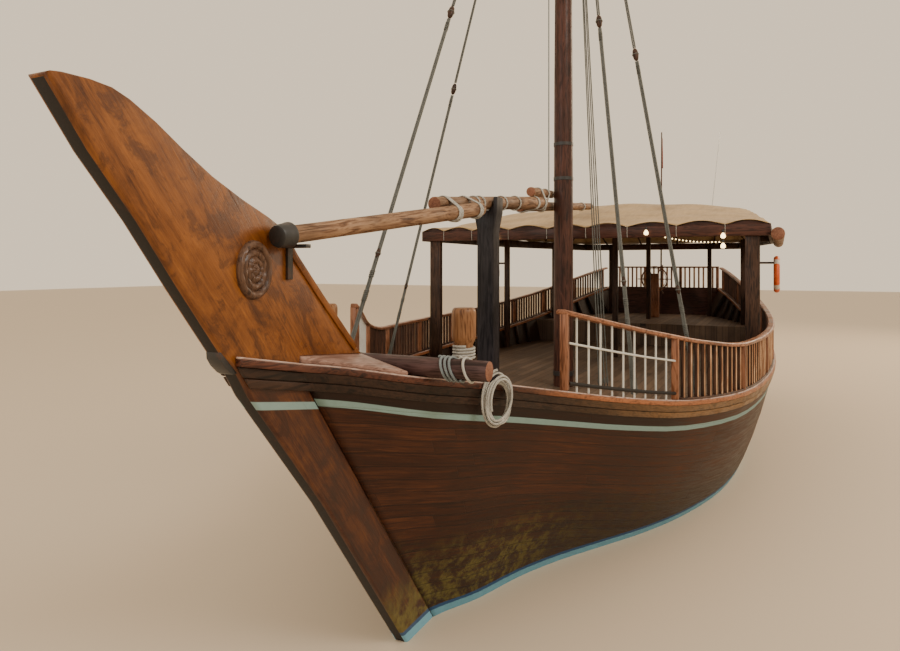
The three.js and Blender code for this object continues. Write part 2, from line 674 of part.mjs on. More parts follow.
// Railings on the cap rails: a top rail on posts and balusters.
const RAILING_FORE_X = 6000;
const RAILING_AFT_X = -7700;
const POST_HALF = 38;
const BALUSTER_HALF = 24;
const PIPE_HALF = 11;
const FORE_POST_X = RAILING_FORE_X - POST_HALF - 2;
const SECOND_POST_X = 4490;
const POST_SPACING = 1500;
const PIPE_SPACING = 147;
const BALUSTER_SPACING = 125;
const TOP_RAIL_HALF = 50;
const TOP_RAIL_THICK = 45;
const TOP_RAIL_STEPS = 28;
const RAILING_INSET = 40;
const BAR_SEAT = 20;
const railTopAt = (x) => {
  const rows = [
    [6000, 2893], [5650, 2810], [4950, 2643], [4200, 2488], [3500, 2387], [3050, 2350], [1800, 2347],
  ];
  const index = rows.findIndex(([rx], i) => i > 0 && x >= rx);
  if (index > 0) {
    const [x0, z0] = rows[index - 1];
    const [x1, z1] = rows[index];
    return z0 + ((z1 - z0) * (x0 - x)) / (x0 - x1);
  }
  return railZAt(x) + RAIL_HEIGHT;
};
const railCentre = (x) => railHalfAt(x) - RAILING_INSET;

function railBar(x, half, sign) {
  const y = sign * railCentre(x);
  const low = Math.max(railZAt(x - half), railZAt(x + half)) + GAP;
  return box(x - half, x + half, y - half, y + half, low, railTopAt(x) - BAR_SEAT);
}

function railingGeometry(sign) {
  const rings = [];
  for (let i = 0; i <= TOP_RAIL_STEPS; i += 1) {
    const x = RAILING_FORE_X + ((RAILING_AFT_X - RAILING_FORE_X) * i) / TOP_RAIL_STEPS;
    const inner = railCentre(x) - TOP_RAIL_HALF;
    const outer = railCentre(x) + TOP_RAIL_HALF;
    const top = railTopAt(x);
    const low = top - TOP_RAIL_THICK;
    const corners = [[inner, low], [outer, low], [outer, top], [inner, top]];
    rings.push(corners.map(([y, z]) => at(x, sign * y, z)));
  }
  const parts = [loft(rings), railBar(FORE_POST_X, POST_HALF, sign)];
  for (let x = FORE_POST_X - PIPE_SPACING; x > SECOND_POST_X + POST_HALF; x -= PIPE_SPACING) {
    parts.push(railBar(x, PIPE_HALF, sign));
  }
  const bays = POST_SPACING / BALUSTER_SPACING;
  for (let i = 0; SECOND_POST_X - i * BALUSTER_SPACING > RAILING_AFT_X + POST_HALF; i += 1) {
    const half = i % bays === 0 ? POST_HALF : BALUSTER_HALF;
    parts.push(railBar(SECOND_POST_X - i * BALUSTER_SPACING, half, sign));
  }
  return join(parts);
}
SIDES.forEach(([side, sign]) => addPiece(`railing_${side}`, railingGeometry(sign), RAIL_WOOD));

// Canopy frame: side beams on posts, front and aft fascia, ridge frame and the fabric over them.
const EAVE_HALF = 2890;
const AFT_EAVE_HALF = 2050;
const NARROW_X = -3000;
const eaveHalf = (x) => {
  if (x > NARROW_X) return EAVE_HALF;
  const f = (NARROW_X - x) / (NARROW_X - CANOPY_AFT_X);
  return EAVE_HALF + (AFT_EAVE_HALF - EAVE_HALF) * f;
};
const CANOPY_POSTS = [
  // x, half width across
  [1150, 100], [-2300, 50], [-4800, 50], [-7200, 50],
];
const CANOPY_POST_HALF = 50;
const CANOPY_POST_CLEAR = 15;
const ARM_HALF = 40;
const ARM_INSET = 20;
const BUOY_ARM_THICK = 40;
const FASCIA_TOP = EAVE_Z;
const FASCIA_LOW = EAVE_Z - FASCIA_DEPTH;

// A crosswise arm from one distance off the centreline to another.
function arm(x, halfWide, sign, inner, outer, low, top) {
  const ends = [sign * inner, sign * outer].sort((a, b) => a - b);
  return box(x - halfWide, x + halfWide, ends[0], ends[1], low, top);
}

const BUOY = { x: -2300, z: 3140, radius: 300, tube: 55, clear: 10, rest: 2.9 };
function sideFrame(sign) {
  const stations = [CANOPY_FRONT_X, NARROW_X, CANOPY_AFT_X];
  const rings = stations.map((x) => {
    const y = eaveHalf(x);
    const inner = y - FASCIA_THICK;
    const corners = [[inner, FASCIA_LOW], [y, FASCIA_LOW], [y, FASCIA_TOP], [inner, FASCIA_TOP]];
    return corners.map(([py, pz]) => at(x, sign * py, pz));
  });
  const parts = [loft(rings)];
  CANOPY_POSTS.forEach(([x, half]) => {
    const deckZ = x < POOP_FORE_X ? POOP_Z : DECK_Z;
    const off = insideAt(x - CANOPY_POST_HALF, deckZ) - half - CANOPY_POST_CLEAR;
    const y = sign * off;
    parts.push(box(
      x - CANOPY_POST_HALF, x + CANOPY_POST_HALF,
      y - half, y + half,
      deckZ + GAP, FASCIA_TOP - ARM_INSET / 2));
    parts.push(arm(
      x, ARM_HALF, sign, off - ARM_INSET, eaveHalf(x) - ARM_INSET / 2,
      FASCIA_LOW + ARM_INSET, FASCIA_TOP - ARM_INSET));
    if (x === BUOY.x) {
      const top = BUOY.z + BUOY.radius - BUOY.tube - BUOY.rest;
      parts.push(arm(
        x, ARM_HALF / 2, sign, off - ARM_INSET, EAVE_HALF + 2 * BUOY.tube, top - BUOY_ARM_THICK, top));
    }
  });
  return join(parts);
}
SIDES.forEach(([side, sign]) => addPiece(`canopy_frame_${side}`, sideFrame(sign), DARK_WOOD));

const FASCIAS = [
  // name, from x, to x, half width
  ['canopy_fascia_front', CANOPY_FRONT_X + GAP, CANOPY_FRONT_X + FASCIA_THICK, EAVE_HALF],
  ['canopy_fascia_aft', CANOPY_AFT_X - FASCIA_THICK, CANOPY_AFT_X - GAP, AFT_EAVE_HALF],
];
FASCIAS.forEach(([name, x0, x1, half]) => {
  addPiece(name, box(x0, x1, -half, half, FASCIA_LOW, FASCIA_TOP), DARK_WOOD);
});

const CROWN_FORE_X = -1620;
const CROWN_AFT_X = -5600;
const CROWN_HALF = 2300;
const CROWN_CAMBER = 140;
const FABRIC_THICK = 12;
const FABRIC_FORE_X = CANOPY_FRONT_X + FASCIA_THICK;
const FABRIC_AFT_X = CANOPY_AFT_X - FASCIA_THICK;

// Height of the fabric: a cambered crown, straight down to the front eave and rounded at the other eaves.
function fabricZ(x, y) {
  const half = eaveHalf(x);
  const fore = (FABRIC_FORE_X - x) / (FABRIC_FORE_X - CROWN_FORE_X);
  const aft = (x - FABRIC_AFT_X) / (CROWN_AFT_X - FABRIC_AFT_X);
  const side = ((half - Math.abs(y)) / half) * (EAVE_HALF / (EAVE_HALF - CROWN_HALF));
  const round = Math.sin((Math.min(1, Math.max(0, Math.min(aft, side))) * Math.PI) / 2);
  const crown = CROWN_Z - CROWN_CAMBER * (y / CROWN_HALF) ** 2;
  return EAVE_Z + GAP + (crown - EAVE_Z) * Math.min(round, Math.min(1, Math.max(0, fore)));
}

function fabricGeometry() {
  const columns = 18;
  const rows = 12;
  const positions = [];
  const indices = [];
  [FABRIC_THICK, 0].forEach((lift) => {
    for (let i = 0; i <= columns; i += 1) {
      const x = FABRIC_FORE_X + ((FABRIC_AFT_X - FABRIC_FORE_X) * i) / columns;
      for (let j = 0; j <= rows; j += 1) {
        const y = eaveHalf(x) * ((2 * j) / rows - 1);
        positions.push(x, y, fabricZ(x, y) + lift);
      }
    }
  });
  const corner = (layer, i, j) => layer * (columns + 1) * (rows + 1) + i * (rows + 1) + j;
  const quad = (a, b, c, d) => indices.push(a, b, c, a, c, d);
  for (let i = 0; i < columns; i += 1) {
    for (let j = 0; j < rows; j += 1) {
      quad(corner(0, i, j), corner(0, i, j + 1), corner(0, i + 1, j + 1), corner(0, i + 1, j));
      quad(corner(1, i, j), corner(1, i + 1, j), corner(1, i + 1, j + 1), corner(1, i, j + 1));
    }
    quad(corner(0, i, 0), corner(0, i + 1, 0), corner(1, i + 1, 0), corner(1, i, 0));
    quad(corner(0, i + 1, rows), corner(0, i, rows), corner(1, i, rows), corner(1, i + 1, rows));
  }
  for (let j = 0; j < rows; j += 1) {
    quad(corner(0, 0, j + 1), corner(0, 0, j), corner(1, 0, j), corner(1, 0, j + 1));
    quad(corner(0, columns, j), corner(0, columns, j + 1), corner(1, columns, j + 1), corner(1, columns, j));
  }
  const geometry = new THREE.BufferGeometry();
  geometry.setAttribute('position', new THREE.Float32BufferAttribute(positions, 3));
  geometry.setIndex(indices);
  return outward(geometry);
}
addPiece('canopy', fabricGeometry(), FABRIC);

// Steering pedestal and wheel on the poop, and lifebuoys on the canopy frames.
const HELM_X = -6300;
const HELM_Z = POOP_Z + 1000;
const HELM_HALF = 110;
const HELM_HALF_WIDE = 140;
const HELM_HEAD = 150;
addPiece('helm_pedestal', box(
  HELM_X - HELM_HALF, HELM_X + HELM_HALF,
  -HELM_HALF_WIDE, HELM_HALF_WIDE,
  POOP_Z + GAP, HELM_Z + HELM_HEAD), RAIL_WOOD);
const WHEEL_X = HELM_X - 190;
const WHEEL_RADIUS = 330;
const WHEEL_RIM = 20;
const HANDLE_REACH = 110;
const BOSS_RADIUS = 45;
const BOSS_AFT = 40;
const SPOKE_RADIUS = 14;
const rim = new THREE.TorusGeometry(WHEEL_RADIUS, WHEEL_RIM, 6, 24);
rim.rotateY(Math.PI / 2);
rim.translate(WHEEL_X, 0, HELM_Z);
const boss = bar(
  at(WHEEL_X - BOSS_AFT, 0, HELM_Z), at(HELM_X - HELM_HALF - GAP, 0, HELM_Z), BOSS_RADIUS, BOSS_RADIUS, 14);
const wheelParts = [rim, boss];
const SPOKES = 6;
for (let i = 0; i < SPOKES; i += 1) {
  const a = (i * 2 * Math.PI) / SPOKES;
  const reach = WHEEL_RADIUS + HANDLE_REACH;
  const tip = at(WHEEL_X, Math.cos(a) * reach, HELM_Z + Math.sin(a) * reach);
  wheelParts.push(bar(at(WHEEL_X, 0, HELM_Z), tip, SPOKE_RADIUS, SPOKE_RADIUS, 8));
}
addPiece('steering_wheel', join(wheelParts), RAIL_WOOD);

SIDES.forEach(([side, sign]) => {
  const geometry = new THREE.TorusGeometry(BUOY.radius, BUOY.tube, 8, 24);
  geometry.rotateX(Math.PI / 2);
  geometry.translate(BUOY.x, sign * (EAVE_HALF + BUOY.tube + BUOY.clear), BUOY.z);
  addPiece(`lifebuoy_${side}`, geometry, ORANGE);
});

// Spar stowed along the port eave.
const STOWED = { foreX: 1450, aftX: -2800, z: 3765, radius: 92 };
const stowedY = EAVE_HALF + STOWED.radius + GAP;
addPiece('stowed_spar', bar(
  at(STOWED.foreX, stowedY, STOWED.z), at(STOWED.aftX, stowedY, STOWED.z),
  STOWED.radius, STOWED.radius, 16), RAIL_WOOD);

// Flagstaff with its furled flag, and an aerial.
const STAFF_X = -7560;
const STAFF_TOP_Z = 7100;
const STAFF_RAKE = 150;
const STAFF_RADIUS = 26;
const STAFF_TOP_RADIUS = 16;
const staffFoot = at(STAFF_X, 0, POOP_Z + 1);
const staffTop = at(STAFF_X - STAFF_RAKE, 0, STAFF_TOP_Z);
addPiece('flagstaff', bar(staffFoot, staffTop, STAFF_RADIUS, STAFF_TOP_RADIUS, 10), RAIL_WOOD);

const FLAG = { low: 6150, high: 6980, width: 150, foot: 105, thick: 60, off: 17.4, droop: 120, sag: 60 };
const staffX = (z) => STAFF_X - (STAFF_RAKE * (z - POOP_Z)) / (STAFF_TOP_Z - POOP_Z);
const FLAG_OUTLINE = [
  [staffX(FLAG.low) - FLAG.off, FLAG.low],
  [staffX(FLAG.high) - FLAG.off, FLAG.high],
  [staffX(FLAG.high) - FLAG.off - FLAG.width, FLAG.high - FLAG.droop],
  [staffX(FLAG.low) - FLAG.off - FLAG.foot, FLAG.low - FLAG.sag],
];
addPiece('flag', sidePlate(FLAG_OUTLINE, FLAG.thick), FLAG_CLOTH);

const AERIAL_X = FABRIC_AFT_X - 12.4;
const aerialFoot = at(AERIAL_X, 1250, FASCIA_LOW);
const aerialTip = at(AERIAL_X - 120, 1560, 6950);
addPiece('aerial', bar(aerialFoot, aerialTip, 12, 6, 8), STEEL);

// Stern railing across the transom.
const STERN_RAIL_HALF = sternStation.railHalf - 60;
const STERN_RAIL_X = sternX(sternStation.railZ) - TRANSOM_THICK / 2;
const STERN_RAIL_Z = sternStation.railZ + RAIL_HEIGHT;
const STERN_BARS = 24;
const POST_EVERY = 8;
const sternBars = [box(
  STERN_RAIL_X - TOP_RAIL_HALF, STERN_RAIL_X + TOP_RAIL_HALF,
  -STERN_RAIL_HALF, STERN_RAIL_HALF,
  STERN_RAIL_Z - TOP_RAIL_THICK, STERN_RAIL_Z)];
for (let i = 0; i <= STERN_BARS; i += 1) {
  const half = i % POST_EVERY === 0 ? POST_HALF : BALUSTER_HALF;
  const y = (STERN_RAIL_HALF - RAILING_INSET) * ((2 * i) / STERN_BARS - 1);
  sternBars.push(box(
    STERN_RAIL_X - half, STERN_RAIL_X + half,
    y - half, y + half,
    sternStation.railZ + GAP, STERN_RAIL_Z - BAR_SEAT));
}
addPiece('stern_railing', join(sternBars), RAIL_WOOD);

// Round black cap over the fore end of the yard, and the bracket on the stem beside it.
const CAP_RADIUS = 85;
const CAP_LENGTH = 120;
const capAxis = new THREE.Vector3().subVectors(spars.yard_fore_spar.to, spars.yard_fore_spar.from).normalize();
const capBack = spars.yard_fore_spar.from.clone().addScaledVector(capAxis, -GAP);
const capFront = capBack.clone().addScaledVector(capAxis, -CAP_LENGTH);
addPiece('yard_cap', bar(capFront, capBack, CAP_RADIUS * 0.9, CAP_RADIUS, 20), BLACK_PAINT);
const BRACKET = { x: 8600, half: 25, low: 3210, armLow: 3418, armTop: 3443, reach: 240, thick: 22 };
const strap = box(
  BRACKET.x - BRACKET.half, BRACKET.x + BRACKET.half,
  KEEL_HALF + GAP, KEEL_HALF + BRACKET.thick, BRACKET.low, BRACKET.armTop);
const strapArm = box(
  BRACKET.x - BRACKET.half, BRACKET.x + BRACKET.half,
  KEEL_HALF + GAP, BRACKET.reach, BRACKET.armLow, BRACKET.armTop);
addPiece('stem_bracket', join([strap, strapArm]), BLACK_PAINT);

// Ridge frame that holds the crown of the fabric up.
const RIDGE_Z = CROWN_Z - FABRIC_THICK;
const RIDGE_HALF = 45;
const RIDGE_DEPTH = 90;
const RIDGE_POST_HALF = 50;
const RIB_HALF = 40;
const RIB_REACH = 1350;
const RIB_DEPTH = 70;
const RIB_DROP = 50;
const RIDGE_POSTS = [CROWN_AFT_X + RIDGE_POST_HALF, CROWN_FORE_X - RIDGE_POST_HALF];
const ridgeBars = [box(CROWN_AFT_X, CROWN_FORE_X, -RIDGE_HALF, RIDGE_HALF, RIDGE_Z - RIDGE_DEPTH, RIDGE_Z)];
[...RIDGE_POSTS, -3500].forEach((x) => {
  const top = RIDGE_Z - RIB_DROP;
  ridgeBars.push(box(x - RIB_HALF, x + RIB_HALF, -RIB_REACH, RIB_REACH, top - RIB_DEPTH, top));
});
RIDGE_POSTS.forEach((x) => {
  const deckZ = x < POOP_FORE_X ? POOP_Z : DECK_Z;
  ridgeBars.push(box(
    x - RIDGE_POST_HALF, x + RIDGE_POST_HALF,
    -RIDGE_POST_HALF, RIDGE_POST_HALF,
    deckZ + GAP, RIDGE_Z - RIB_DROP / 2));
});
addPiece('canopy_ridge', join(ridgeBars), DARK_WOOD);

// Hank of rope hung over the port rail aft of the log.
const HANK = { x: 6930, z: 2180, halfWide: 190, halfTall: 265, thick: 90, railAngle: 0.385, off: 4.1 };
function hankGeometry() {
  const shape = new THREE.Shape();
  shape.absellipse(0, 0, HANK.halfWide, HANK.halfTall, 0, Math.PI * 2);
  const settings = { depth: HANK.thick, bevelEnabled: false, curveSegments: 12 };
  const geometry = new THREE.ExtrudeGeometry(shape, settings);
  geometry.rotateX(Math.PI / 2);
  geometry.rotateZ(-HANK.railAngle);
  const y = railHalfAt(HANK.x) + CAP_OUT + (HANK.thick + HANK.off) / Math.cos(HANK.railAngle);
  geometry.translate(HANK.x, y, HANK.z);
  return geometry;
}
addPiece('rope_hank', hankGeometry(), ROPE);

export default group;
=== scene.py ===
import math

import bmesh
import bpy
from bpy.props import FloatProperty, FloatVectorProperty, IntProperty, PointerProperty
from mathutils import Matrix, Vector


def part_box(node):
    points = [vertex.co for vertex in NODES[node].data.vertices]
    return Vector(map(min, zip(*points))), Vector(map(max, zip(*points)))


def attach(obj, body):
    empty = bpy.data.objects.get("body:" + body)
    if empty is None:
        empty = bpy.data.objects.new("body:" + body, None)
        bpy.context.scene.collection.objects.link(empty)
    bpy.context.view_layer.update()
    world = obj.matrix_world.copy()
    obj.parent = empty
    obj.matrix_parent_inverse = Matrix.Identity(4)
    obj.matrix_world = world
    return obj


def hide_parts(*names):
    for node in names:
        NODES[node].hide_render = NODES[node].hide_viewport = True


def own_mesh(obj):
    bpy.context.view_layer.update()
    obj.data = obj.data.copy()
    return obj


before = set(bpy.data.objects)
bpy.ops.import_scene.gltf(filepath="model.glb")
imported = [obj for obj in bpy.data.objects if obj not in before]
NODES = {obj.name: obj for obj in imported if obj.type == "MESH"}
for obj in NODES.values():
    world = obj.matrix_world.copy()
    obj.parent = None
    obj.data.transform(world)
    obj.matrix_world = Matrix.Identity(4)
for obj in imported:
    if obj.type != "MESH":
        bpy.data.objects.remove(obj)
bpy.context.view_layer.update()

bl_info = {
    "name": "Wooden Dhow",
    "version": (1, 0, 0),
    "blender": (4, 5, 0),
    "location": "View3D > Sidebar > Dhow",
    "description": "Dresses the packed model of a wooden dhow with planking, rigging, canopy and rope",
    "category": "Object",
}

UP = Vector((0, 0, 1))
FORE = Vector((1, 0, 0))
PORT = Vector((0, 1, 0))
SIDES = (("port", 1), ("starboard", -1))


# Lines of the hull

STATIONS = [
    # place at the water, place at the rail, half breadth and height at the rail, keel, fullness
    (6.507, 8.484, 0.072, 2.641, -1.05, 1.0),
    (6.33, 8.20, 0.25, 2.587, -1.05, 0.76),
    (6.00, 7.60, 0.56, 2.449, -1.05, 0.62),
    (5.40, 6.80, 0.86, 2.30, -1.05, 0.53),
    (4.80, 6.00, 1.20, 2.13, -1.05, 0.43),
    (4.20, 5.20, 1.63, 1.965, -1.05, 0.374),
    (3.50, 4.30, 2.12, 1.825, -1.05, 0.345),
    (2.60, 3.10, 2.60, 1.76, -1.05, 0.33),
    (1.50, 1.70, 2.84, 1.76, -1.05, 0.263),
    (0.0, 0.0, 2.92, 1.78, -1.05, 0.21),
    (-2.0, -2.0, 2.83, 1.86, -1.05, 0.19),
    (-4.0, -4.1, 2.57, 2.05, -1.0, 0.236),
    (-5.4, -5.8, 2.18, 2.33, -0.8, 0.361),
    (-6.4, -7.05, 1.83, 2.56, -0.35, 0.545),
    (-6.95, -7.85, 1.56, 2.70, 0.2, 0.75),
]
STEM_END = (7.013, 9.085, 0.072, 2.758, -1.05, 1.0)
STATION_STEPS = 3
DECK_Z = 1.45
POOP_Z = 1.95
FOREDECK_Z = 1.70
KEEL_HALF = 0.07
CAP_THICK = 0.06
CAP_IN, CAP_OUT, CAP_LEAST = 0.11, 0.03, 0.06
WALE_DEPTH = 0.15
WATER_ROWS = 11


def smooth_row(u):
    """One station between the rows of the table, on a smooth curve through each column."""
    last = len(STATIONS) - 1
    row = min(int(u), last - 1)
    f = u - row
    values = []
    for c in range(6):
        p1, p2 = STATIONS[row][c], STATIONS[row + 1][c]
        p0 = STATIONS[row - 1][c] if row > 0 else 2 * p1 - p2
        p3 = STATIONS[row + 2][c] if row + 2 <= last else 2 * p2 - p1
        values.append(
            (2 * p1 + (p2 - p0) * f + (2 * p0 - 5 * p1 + 4 * p2 - p3) * f * f
             + (3 * p1 - p0 - 3 * p2 + p3) * f ** 3) / 2
        )
    return values


SMOOTH = [smooth_row(i / STATION_STEPS) for i in range((len(STATIONS) - 1) * STATION_STEPS + 1)]


def side_point(row, z):
    """Point of the port side of a station at a height."""
    water, rail, half, top, keel, fullness = row
    top -= CAP_THICK
    height = max(0.0, (z - keel) / (top - keel))
    x = water + (rail - water) * z / top
    return Vector((x, KEEL_HALF + (half - KEEL_HALF) * height ** fullness, z))


def along(x, column):
    """Value of a column of the stations at a place along the rail."""
    for a, b in zip(SMOOTH, SMOOTH[1:]):
        if b[1] <= x <= a[1]:
            f = (a[1] - x) / (a[1] - b[1])
            return a[column] * (1 - f) + b[column] * f
    return (SMOOTH[0] if x > SMOOTH[0][1] else SMOOTH[-1])[column]


def inner_side(x, z):
    """Half breadth of the bulwark's inner face at a place and height."""
    def chord(row):
        high = row[3] - CAP_THICK - WALE_DEPTH
        a, b = side_point(row, DECK_Z).y, side_point(row, high).y
        return a + (b - a) * (z - DECK_Z) / (high - DECK_Z) if z < high else side_point(row, z).y
    for a, b in zip(SMOOTH, SMOOTH[1:]):
        xa, xb = side_point(a, z).x, side_point(b, z).x
        if xb <= x <= xa:
            f = (xa - x) / (xa - xb)
            return chord(a) * (1 - f) + chord(b) * f - 0.065
    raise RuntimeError(f"no side at {x:.2f}")


def rail_half(x):
    return along(x, 2)


def rail_z(x):
    return along(x, 3)


# Shader maths

class Wire:
    """A value on its way through a material, so that shader maths reads as plain sums."""

    def __init__(self, finish, socket):
        self.finish = finish
        self.socket = socket

    def maths(self, operation, *values):
        return self.finish.node("ShaderNodeMath", {"operation": operation}, dict(enumerate(values)))

    def __add__(self, other):
        return self.maths("ADD", self, other)

    __radd__ = __add__

    def __sub__(self, other):
        return self.maths("SUBTRACT", self, other)

    def __rsub__(self, other):
        return self.maths("SUBTRACT", other, self)

    def __mul__(self, other):
        return self.maths("MULTIPLY", self, other)

    __rmul__ = __mul__

    def __truediv__(self, other):
        return self.maths("DIVIDE", self, other)

    def __abs__(self):
        return self.maths("ABSOLUTE", self)

    def fract(self):
        return self.maths("FRACT", self)

    def floor(self):
        return self.maths("FLOOR", self)

    def sine(self):
        return self.maths("SINE", self)

    def at_most(self, other):
        return self.maths("MINIMUM", self, other)

    def at_least(self, other):
        return self.maths("MAXIMUM", self, other)


class Finish:
    """A material of one principled shader, whose constants sit on the shader's own sockets."""

    def __init__(self, name, **constants):
        self.material = bpy.data.materials.new(name)
        self.material.use_nodes = True
        self.tree = self.material.node_tree
        self.shader = self.tree.nodes["Principled BSDF"]
        for socket, value in constants.items():
            self.shader.inputs[socket.replace("_", " ")].default_value = value

    def node(self, kind, settings=None, sockets=None, out=0):
        """Adds a node: its settings first, then the values or links of its sockets. Gives one output."""
        node = self.tree.nodes.new(kind)
        for key, value in (settings or {}).items():
            if key == "stops":
                elements = node.color_ramp.elements
                while len(elements) < len(value):
                    elements.new(0.5)
                for element, (place, colour) in zip(elements, value):
                    element.position = place
                    element.color = (*colour, 1)
            else:
                setattr(node, key, value)
        for key, value in (sockets or {}).items():
            self.join(value, node.inputs[key])
        return Wire(self, node.outputs[out])

    def join(self, value, socket):
        if isinstance(value, Wire):
            self.tree.links.new(value.socket, socket)
        elif hasattr(value, "__len__") and socket.type == "RGBA" and len(value) == 3:
            socket.default_value = (*value, 1)
        else:
            socket.default_value = value

    def place(self):
        return self.node("ShaderNodeTexCoord", out="Object")

    def layer(self, name):
        """A vector that is kept on the mesh under this name."""
        return self.node("ShaderNodeAttribute", {"attribute_name": name}, out="Vector")

    def tone(self):
        return self.node("ShaderNodeAttribute", {"attribute_name": "tone"}, out="Fac")

    def split(self, vector):
        node = self.tree.nodes.new("ShaderNodeSeparateXYZ")
        self.join(vector, node.inputs[0])
        return [Wire(self, node.outputs[i]) for i in range(3)]

    def pack(self, x, y, z):
        return self.node("ShaderNodeCombineXYZ", None, {0: x, 1: y, 2: z})

    def stretch(self, vector, scale):
        return self.node("ShaderNodeMapping", None, {"Vector": vector, "Scale": scale})

    def noise(self, vector, scale, detail=4.0, rough=0.55, twist=0.0):
        sockets = {
            "Vector": vector, "Scale": scale, "Detail": detail, "Roughness": rough, "Distortion": twist,
        }
        return self.node("ShaderNodeTexNoise", None, sockets)

    def chance(self, x, y):
        """A fixed random number from 0 to 1 for each pair of whole numbers."""
        pair = self.pack(x, y, 0.5)
        return self.node("ShaderNodeTexWhiteNoise", {"noise_dimensions": "3D"}, {"Vector": pair})

    def ease(self, value, low, high, start=0.0, end=1.0):
        sockets = {0: value, 1: low, 2: high, 3: start, 4: end}
        return self.node("ShaderNodeMapRange", {"interpolation_type": "SMOOTHSTEP"}, sockets)

    def ramp(self, value, *stops):
        return self.node("ShaderNodeValToRGB", {"stops": stops}, {0: value})

    def blend(self, mask, a, b, mode="MIX"):
        """Colour a where the mask is 0 and b where it is 1."""
        settings = {"data_type": "RGBA", "blend_type": mode}
        return self.node("ShaderNodeMix", settings, {0: mask, 6: a, 7: b}, out=2)

    def bump(self, height, distance, strength=1.0, under=None):
        sockets = {"Height": height, "Distance": distance, "Strength": strength}
        if under is not None:
            sockets["Normal"] = under
        return self.node("ShaderNodeBump", None, sockets)

    def wear(self, **values):
        """Feeds the shader's varying sockets."""
        for socket, value in values.items():
            self.join(value, self.shader.inputs[socket.replace("_", " ")])
        return self.material


# Finishes

STEM_RAKE = 52.0


def wood_finish(name, deep, mid, pale, rough=0.45, gloss=0.2, grit=0.35, ring_scale=7.0, aft=None):
    """Sawn timber: streaks along the grain, growth rings and checks.

    Where aft is given, the timber fades to another shade between two places along the boat: painted light,
    where the timber is lit.
    """
    f = Finish(name, Coat_Weight=gloss * 0.5, Coat_Roughness=0.25, Specular_IOR_Level=0.25)
    grain = f.layer("grain")
    streak = f.noise(f.stretch(grain, (0.9, 16.0, 16.0)), 2.6, 6.0, 0.62, 0.5)
    rings = f.noise(f.stretch(grain, (0.35, 3.2, 3.2)), ring_scale, 3.0, 0.5, 1.2)
    band = ((rings * 16.0).sine() * 0.5 + 0.5) * 0.35
    figure = streak * 0.75 + band
    colour = f.ramp(figure, (0.22, deep), (0.5, mid), (0.82, pale))
    blotch = f.ease(f.noise(grain, 1.3, 3.0, 0.6), 0.35, 0.72)
    colour = f.blend(blotch * 0.55, colour, deep, "MULTIPLY")
    # Painted light: between the two places the timber fades to the lit colour of the aft shade.
    if aft:
        x, _, _ = f.split(f.place())
        start, end, shade = aft
        lit_colour = f.ramp(figure, (0.3, tuple(c * 0.4 for c in shade)), (0.75, shade))
        colour = f.blend(f.ease(x + blotch * 0.3, start, end), colour, lit_colour)
    member = f.tone() * 0.42 + 0.74
    colour = f.blend(1.0, colour, f.pack(member, member, member), "MULTIPLY")
    checks = f.ease(f.noise(f.stretch(grain, (0.55, 34.0, 34.0)), 1.9, 2.0, 0.4), 0.69, 0.76)
    colour = f.blend(checks * 0.7, colour, tuple(c * 0.25 for c in deep))
    roughness = f.ease(f.noise(grain, 4.0, 4.0, 0.6), 0.3, 0.75, rough - 0.08, rough + 0.2)
    height = streak * 0.5 - checks * 1.2 + f.noise(grain, 38.0, 2.0) * 0.2
    return f.wear(Base_Color=colour, Roughness=roughness, Normal=f.bump(height, 0.004, grit))


